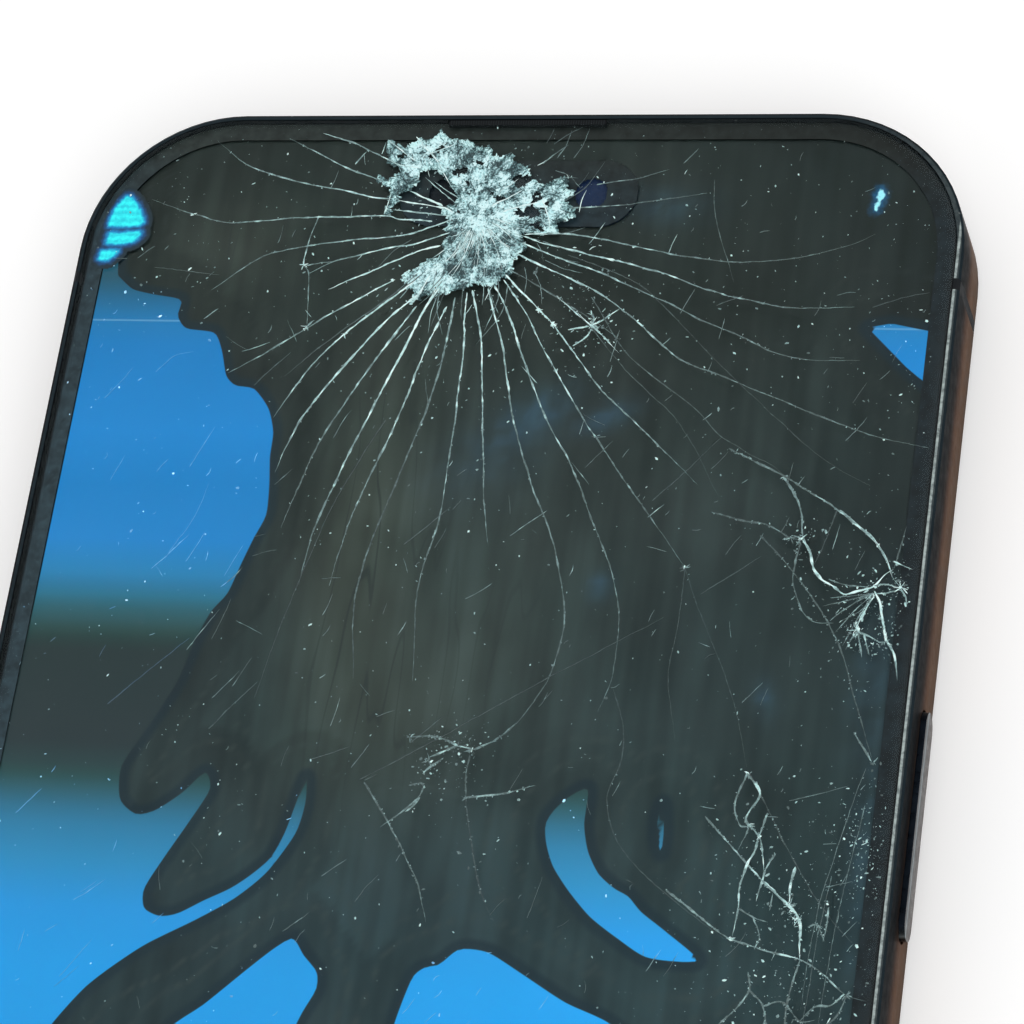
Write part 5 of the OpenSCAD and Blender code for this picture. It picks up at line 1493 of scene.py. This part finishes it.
def board_finish(name):
    """Circuit board: dark green lacquer, paler tracks under it and tinned pads."""
    f = Finish(name, {"Roughness": 0.35, "Specular IOR Level": 0.5})
    lacquer = shaded(f, (0.006, 0.045, 0.022), 0.8, 1.2, 4)
    tracks = f.remap(f.cells(1.6, "DISTANCE_TO_EDGE"), 0.04, 0.07, 1, 0)
    tracked = f.blend(f.math("MULTIPLY", tracks, 0.7), lacquer, (0.015, 0.11, 0.05))
    pads = f.remap(f.cells(1.3), 0.14, 0.18, 1, 0)
    f.feed("Base Color", f.blend(pads, tracked, (0.52, 0.52, 0.48)))
    f.feed("Metallic", pads)
    f.bump(tracks, 0.02, 0.4)
    return f.material


def foil_finish(name, colour, wrap=3.0):
    """Wrapped foil or pouch film: broad creases and a satin shine."""
    f = Finish(name, {"Roughness": 0.4, "Metallic": 0.6})
    creases = f.remap(f.cells(wrap, "DISTANCE_TO_EDGE"), 0, 0.08, 1, 0)
    f.feed("Base Color", f.blend(f.math("MULTIPLY", creases, 0.4), shaded(f, colour, 0.9, 1.1, 3),
                                 tuple(min(1, c * 1.8) for c in colour)))
    f.bump(f.math("ADD", creases, f.noise(wrap, 3)), 0.04, 0.5)
    return f.material


def flex_finish(name):
    """Flexible ribbon: amber film with copper tracks along it."""
    f = Finish(name, {"Roughness": 0.38, "Specular IOR Level": 0.5})
    track = f.add("TexWave", {"Vector": f.place(), "Scale": 0.55, "Distortion": 0.0})
    lines = f.remap(track.outputs["Fac"], 0.45, 0.55)
    amber = shaded(f, (0.30, 0.13, 0.03), 0.85, 1.15, 2)
    f.feed("Base Color", f.blend(lines, amber, (0.16, 0.055, 0.012)))
    f.bump(lines, 0.01, 0.5)
    return f.material


def coil_finish(name, centre):
    """Wound copper: fine rings round the coil's own centre, from the distance to it, with painted
    shade between the windings.
    """
    f = Finish(name, {"Metallic": 1.0, "Roughness": 0.32})
    spot = f.add("VectorMath", {0: f.place((1, 1, 0)), 1: (centre[0], centre[1], 0)},
                 operation="SUBTRACT").outputs[0]
    far = f.add("VectorMath", {0: spot}, operation="LENGTH").outputs["Value"]
    wires = f.waves(far, 0.5)
    # Painted shade: the grooves between the windings are made dark.
    dark = f.remap(wires, 0.05, 0.5)
    f.feed("Base Color", f.blend(dark, (0.16, 0.05, 0.02), (0.85, 0.40, 0.18)))
    f.bump(wires, 0.08, 0.8)
    return f.material


print("finish recipes ready")

# %% [markdown]
# ## The frame of the phone
# The band round the phone is steel with a thin hard coat. Its colour carries painted light. A light
# line is painted along its narrow lip against the glass, down the right side only: a painted
# highlight. Under it a painted reflection runs blue-black in the upper half and turns to a warm
# bronze in the lower half. One ramp along Z gives the blue-black and the bronze, from the height of
# the band itself. Breaks in the painted highlight and nicks come from two patterns of their own.

# %% Band, antenna breaks and buttons
LIP_Z = body_high[2] - 0.08


def band_finish():
    """Coated steel: a painted highlight along the lip, and a painted reflection, blue-black in the
    upper half and bronze in the lower half.
    """
    f = Finish("coated_band", {"Metallic": 0.85, "Specular IOR Level": 0.2,
                               "Specular Tint": (0.25, 0.25, 0.25)})
    z = f.math("ADD", f.axis("Z"), f.clouds(-0.10, 0.10, 4))
    height = f.remap(z, body_low[2], body_high[2])
    # Painted reflection: blue-black in the upper half and bronze in the lower half stand in for
    # what the band mirrors.
    painted_reflection = f.ramp(height, [
        (0.00, (0.13, 0.095, 0.072)), (0.10, (0.20, 0.130, 0.092)), (0.36, (0.245, 0.152, 0.108)),
        (0.50, (0.150, 0.092, 0.068)), (0.64, (0.050, 0.038, 0.033)),
        (0.76, (0.016, 0.022, 0.026)), (1.00, (0.014, 0.022, 0.027))])
    painted_reflection = f.scale(painted_reflection, f.clouds(0.88, 1.14, 2.2, 4, 0.65))
    # Painted highlight: a light line along the lip, down the right side only, broken up by noise.
    lip = f.remap(f.axis("Z"), LIP_Z - 0.02, LIP_Z)
    side = f.remap(f.axis("X"), 27, 37, 0.10, 1.0)
    off_line = f.math("ABSOLUTE", f.math("SUBTRACT", f.axis("X"), (glass_w + half_w - 0.20) / 2))
    side = f.math("MULTIPLY", side, f.remap(off_line, 0.06, 0.14, 1.0, 0.12))
    highlight_breakup = f.remap(f.noise(0.4, 3, 0.7), 0.34, 0.62, 0.40, 1.1)
    painted_lip_highlight = f.math("MULTIPLY", f.math("MULTIPLY", lip, side), highlight_breakup)
    painted_reflection = f.blend(painted_lip_highlight, painted_reflection, (0.40, 0.47, 0.46))
    nicks = f.remap(f.cells(2.4), 0.02, 0.06, 0.35, 0)
    f.feed("Base Color", f.blend(nicks, painted_reflection, (0.40, 0.42, 0.41)))
    f.feed("Roughness", f.clouds(0.30, 0.44, 0.9))
    f.bump(f.noise(0.10, 2, 0.5, (1, 1, 3)), 0.003, 0.4)
    return f.material


def button_finish():
    """Polished coated cap with a painted reflection: a light stripe painted along its rounded upper
    edge, darker above and below.
    """
    f = Finish("button_cap", {"Metallic": 1.0})
    low, high = box_mm("power_button")
    height = f.remap(f.axis("Z"), low[2], high[2])
    # Painted highlight and reflection: a light stripe along the rounded upper edge, darker above
    # and below.
    painted_reflection = f.ramp(height, [
        (0.0, (0.07, 0.05, 0.042)), (0.36, (0.055, 0.044, 0.040)), (0.60, (0.035, 0.036, 0.038)),
        (0.68, (0.26, 0.34, 0.37)), (0.74, (0.06, 0.08, 0.09)), (0.84, (0.020, 0.028, 0.040)),
        (1.0, (0.012, 0.018, 0.028))])
    f.feed("Base Color", f.scale(painted_reflection, f.clouds(0.8, 1.2, 1.4, 3, 0.6)))
    f.feed("Roughness", f.clouds(0.25, 0.38, 0.6))
    f.bump(f.noise(0.08, 2), 0.004, 0.5)
    return f.material


# %% [markdown]
# ## The back
# The back is one pane of frosted glass over a dark bronze print, with a raised island for three
# lenses. Frosting is a fine bump with a middling roughness. The lenses are dark glass with a coat
# that turns light violet at a slant, which a coat tint gives without any trick of the view.

# %% Back glass and lenses
def frosted_finish(name, colour):
    """Frosted glass over a print: velvety roughness, fine grain, grease and a few scuffs."""
    f = Finish(name, {"Specular IOR Level": 0.45, "Coat Weight": 0.15, "Coat Roughness": 0.4})
    base = shaded(f, colour, 0.90, 1.10, 14, 4)
    scuffs = f.remap(f.noise(0.5, 2, 0.5, (1, 0.08, 1)), 0.66, 0.74, 0, 0.25)
    f.feed("Base Color", f.blend(scuffs, base, tuple(c * 2.2 + 0.02 for c in colour)))
    f.feed("Roughness", f.remap(f.noise(6, 4, 0.6), 0.35, 0.65, 0.42, 0.56))
    f.bump(f.noise(0.08, 2), 0.01, 0.4)
    return f.material


def lens_finish():
    """A dark coated lens: dark glass, a little uneven in colour, and a violet coating."""
    f = Finish("coated_lens", {"Roughness": 0.06, "IOR": 1.6, "Coat Weight": 1.0,
                               "Coat Roughness": 0.03, "Coat Tint": (0.75, 0.7, 1.0)})
    clouds = f.clouds(0, 1, 2.0)
    f.feed("Base Color", f.blend(clouds, (0.006, 0.010, 0.022), (0.014, 0.012, 0.034)))
    f.bump(f.noise(1.2, 2), 0.003, 0.3)
    return f.material


def flash_finish():
    """Flash window: pale yellow phosphor behind a fine prism pattern."""
    f = Finish("flash_window", {"Roughness": 0.2, "Specular IOR Level": 0.5})
    prisms = f.cells(0.35)
    f.feed("Base Color", f.blend(f.remap(prisms, 0.1, 0.5), (0.86, 0.80, 0.55),
                                 (0.62, 0.50, 0.24)))
    f.bump(prisms, 0.05, 0.7)
    return f.material


WIRE_STEP = 0.22


def mesh_finish():
    """Woven acoustic mesh: two sets of fine wires crossing."""
    f = Finish("acoustic_mesh", {"Roughness": 0.6, "Specular IOR Level": 0.1})
    weave = f.math("MAXIMUM", f.waves(f.axis("X"), WIRE_STEP), f.waves(f.axis("Z"), WIRE_STEP))
    f.feed("Base Color", f.blend(f.remap(weave, 0.7, 0.95), (0.003, 0.004, 0.005),
                                 (0.014, 0.018, 0.020)))
    f.bump(weave, 0.06, 0.7)
    return f.material


def adhesive_finish():
    """Optical adhesive: a clear layer with a trace of haze where it has let go."""
    f = Finish("clear_adhesive", {})
    tint = f.blend(f.noise(7, 0), (0.96, 0.98, 0.98), (1.0, 1.0, 1.0))
    clear = f.add("BsdfTransparent", {"Color": tint})
    f.tree.links.new(clear.outputs[0], f.output.inputs["Surface"])
    f.tree.nodes.remove(f.shader)
    return f.material


print("frame and back finishes ready")

# %% [markdown]
# ## Give every solid its finish
# A solid takes its finish by the words in its name. The list goes from the particular to the
# general, and the first word that fits wins, so each new finish is one line.

# %% Assign finishes
coil_centre = sum(box_mm("wireless_coil")) / 2
dark_plastic = plastic_finish("dark_plastic", (0.012, 0.013, 0.014))
steel = metal_finish("steel", (0.42, 0.42, 0.41), 0.32, (1, 8, 1))
chip = plastic_finish("chip_resin", (0.016, 0.017, 0.019), 0.55, 0.1)
sensor = plastic_finish("sensor_window", (0.014, 0.028, 0.075), 0.3, 0.3, 0.15)
FINISHES = [
    ("antenna_break", plastic_finish("antenna_resin", (0.010, 0.012, 0.014), 0.6, 0.15, 0.08)),
    ("side_band", band_finish()),
    ("optical_adhesive", adhesive_finish()),
    ("display_support_plate", metal_finish("support_steel", (0.50, 0.47, 0.42), 0.35, (1, 6, 1))),
    ("display_flex", flex_finish("display_ribbon")),
    ("display_panel", dark_plastic),
    ("front_glass", dark_plastic),
    ("crushed_glass_chips", crushed_glass),
    ("gasket", plastic_finish("gasket_foam", (0.006, 0.008, 0.010), 0.7, 0.3, 0.1)),
    ("rear_glass", frosted_finish("frosted_back", (0.060, 0.048, 0.042))),
    ("camera_island", frosted_finish("island_glass", (0.030, 0.026, 0.025))),
    ("lens_ring", metal_finish("lens_ring_steel", (0.20, 0.155, 0.125), 0.22)),
    ("lens_glass", lens_finish()),
    ("rear_camera", plastic_finish("camera_barrel", (0.010, 0.011, 0.012), 0.45)),
    ("front_camera", plastic_finish("camera_window", (0.010, 0.014, 0.020), 0.35, 0.3, 0.12)),
    ("face_sensor", sensor),
    ("flash_window", flash_finish()),
    ("flash_module", flash_finish()),
    ("earpiece_mesh", mesh_finish()),
    ("battery_adhesive", plastic_finish("pull_tab", (0.62, 0.62, 0.58), 0.5, 0.4)),
    ("battery", foil_finish("battery_pouch", (0.035, 0.038, 0.042))),
    ("mid_plate", metal_finish("mid_plate", (0.40, 0.42, 0.43), 0.38, (1, 5, 1))),
    ("board_flex", flex_finish("board_ribbon")),
    ("charging_board", board_finish("charging_board")),
    ("main_board", board_finish("main_board")),
    ("shield_can", metal_finish("tinned_can", (0.58, 0.58, 0.55), 0.34)),
    ("processor", chip),
    ("_chip", chip),
    ("port", metal_finish("port_steel", (0.30, 0.30, 0.30), 0.30)),
    ("wireless_coil", coil_finish("copper_coil", coil_centre)),
    ("ferrite", plastic_finish("ferrite", (0.022, 0.022, 0.024), 0.6, 0.5)),
    ("haptic", metal_finish("motor_case", (0.45, 0.45, 0.43), 0.36)),
    ("microphone", metal_finish("microphone_can", (0.62, 0.52, 0.30), 0.34)),
    ("speaker", dark_plastic),
    ("card_tray", metal_finish("tray_steel", (0.080, 0.062, 0.052), 0.30)),
    ("card_reader", steel),
    ("card", plastic_finish("card_resin", (0.72, 0.72, 0.69), 0.45, 0.3)),
    ("button", button_finish()),
    ("switch", foil_finish("switch_dome", (0.42, 0.40, 0.34), 1.2)),
    ("screws", steel)]
for name, solid in nodes.items():
    material = next(m for word, m in FINISHES if word in name)
    solid.data.materials.clear()
    solid.data.materials.append(material)
print("finishes:", len(FINISHES), "solids:", len(nodes))

# %% [markdown]
# ## Floor, light and room
# The phone lies on its back on a pale table. Its rear lenses stand proud, so it rests on them and
# on its lower end, tilted by about a degree, and the table is tilted to match instead of the
# phone. The room is white, so the steel and the glass mirror white. One large soft lamp adds a
# faint shadow. Together they are set so that a colour comes out about as bright as it is written.

# %% Floor
def floor_finish():
    """Pale table: white paint with a trace of cloud, a little lifted where the camera sees it."""
    f = Finish("pale_table", {"Roughness": 0.8, "Specular IOR Level": 0.1})
    clouds = f.clouds(0, 1, 60, 3)
    f.feed("Base Color", f.blend(clouds, (0.90, 0.90, 0.90), (0.93, 0.93, 0.93)))
    seen = f.add("LightPath", {}).outputs["Is Camera Ray"]
    f.feed("Emission Color", f.blend(seen, (0.0, 0.0, 0.0), (0.19, 0.19, 0.19)))
    f.feed("Emission Strength", 1.0)
    return f.material


TABLE_REACH = 1500
TABLE_GAP = 0.02
ring_low, back_low = box_mm("lens_ring_low")[0], box_mm("rear_glass")[0]
slope = (back_low[2] - ring_low[2]) / (ring_low[1] - back_low[1])
corners = np.array([(-1, -1), (1, -1), (1, 1), (-1, 1)]) * TABLE_REACH
drop = ring_low[2] - TABLE_GAP - slope * (corners[:, 1] - ring_low[1])
floor_mesh = bpy.data.meshes.new("table_top")
floor_mesh.from_pydata((np.column_stack([corners, drop]) * MM).tolist(), [], [(0, 1, 2, 3)])
floor_mesh.materials.append(floor_finish())
floor = bpy.data.objects.new("table_top", floor_mesh)
bpy.context.scene.collection.objects.link(floor)
floor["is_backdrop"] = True
print("table slope, degrees:", round(math.degrees(math.atan(slope)), 2))

# %% Room and lamp
ROOM_LIGHT = 0.72
LAMP_POWER = 6.0
LAMP_WIDTH = 0.9
world = bpy.data.worlds.new("white_room")
bpy.context.scene.world = world
world.use_nodes = True
room = world.node_tree
path = room.nodes.new("ShaderNodeLightPath")
seen = path.outputs["Is Camera Ray"]
for kind in ("Is Glossy Ray", "Is Transmission Ray"):
    larger = room.nodes.new("ShaderNodeMath")
    larger.operation = "MAXIMUM"
    room.links.new(seen, larger.inputs[0])
    room.links.new(path.outputs[kind], larger.inputs[1])
    seen = larger.outputs[0]
level = room.nodes.new("ShaderNodeMapRange")
level.inputs["To Min"].default_value = ROOM_LIGHT
room.links.new(seen, level.inputs["Value"])
room.nodes["Background"].inputs["Color"].default_value = (1, 1, 1, 1)
room.links.new(level.outputs[0], room.nodes["Background"].inputs["Strength"])

lamp_data = bpy.data.lights.new("soft_lamp", "AREA")
lamp_data.shape = "DISK"
lamp_data.size = LAMP_WIDTH
lamp_data.energy = LAMP_POWER
lamp = bpy.data.objects.new("soft_lamp", lamp_data)
lamp.location = (0.55, -0.55, 1.0)
lamp.rotation_euler = (math.radians(38), 0, math.radians(45))
bpy.context.scene.collection.objects.link(lamp)
bpy.context.scene.view_settings.view_transform = "Standard"
print("lamp energy:", lamp_data.energy)

# %% [markdown]
# ## Compare the size
# The dressed phone must not be larger than the solid one. The last line prints how far the dressed
# box reaches past the solid one at its high corner, in millimetres.

# %% Compare the boxes and finish
dressed_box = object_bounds()
growth = [round((b - a) / MM, 3) for a, b in zip(cad_box[1], dressed_box[1])]
print("growth at the high corner, mm:", growth)
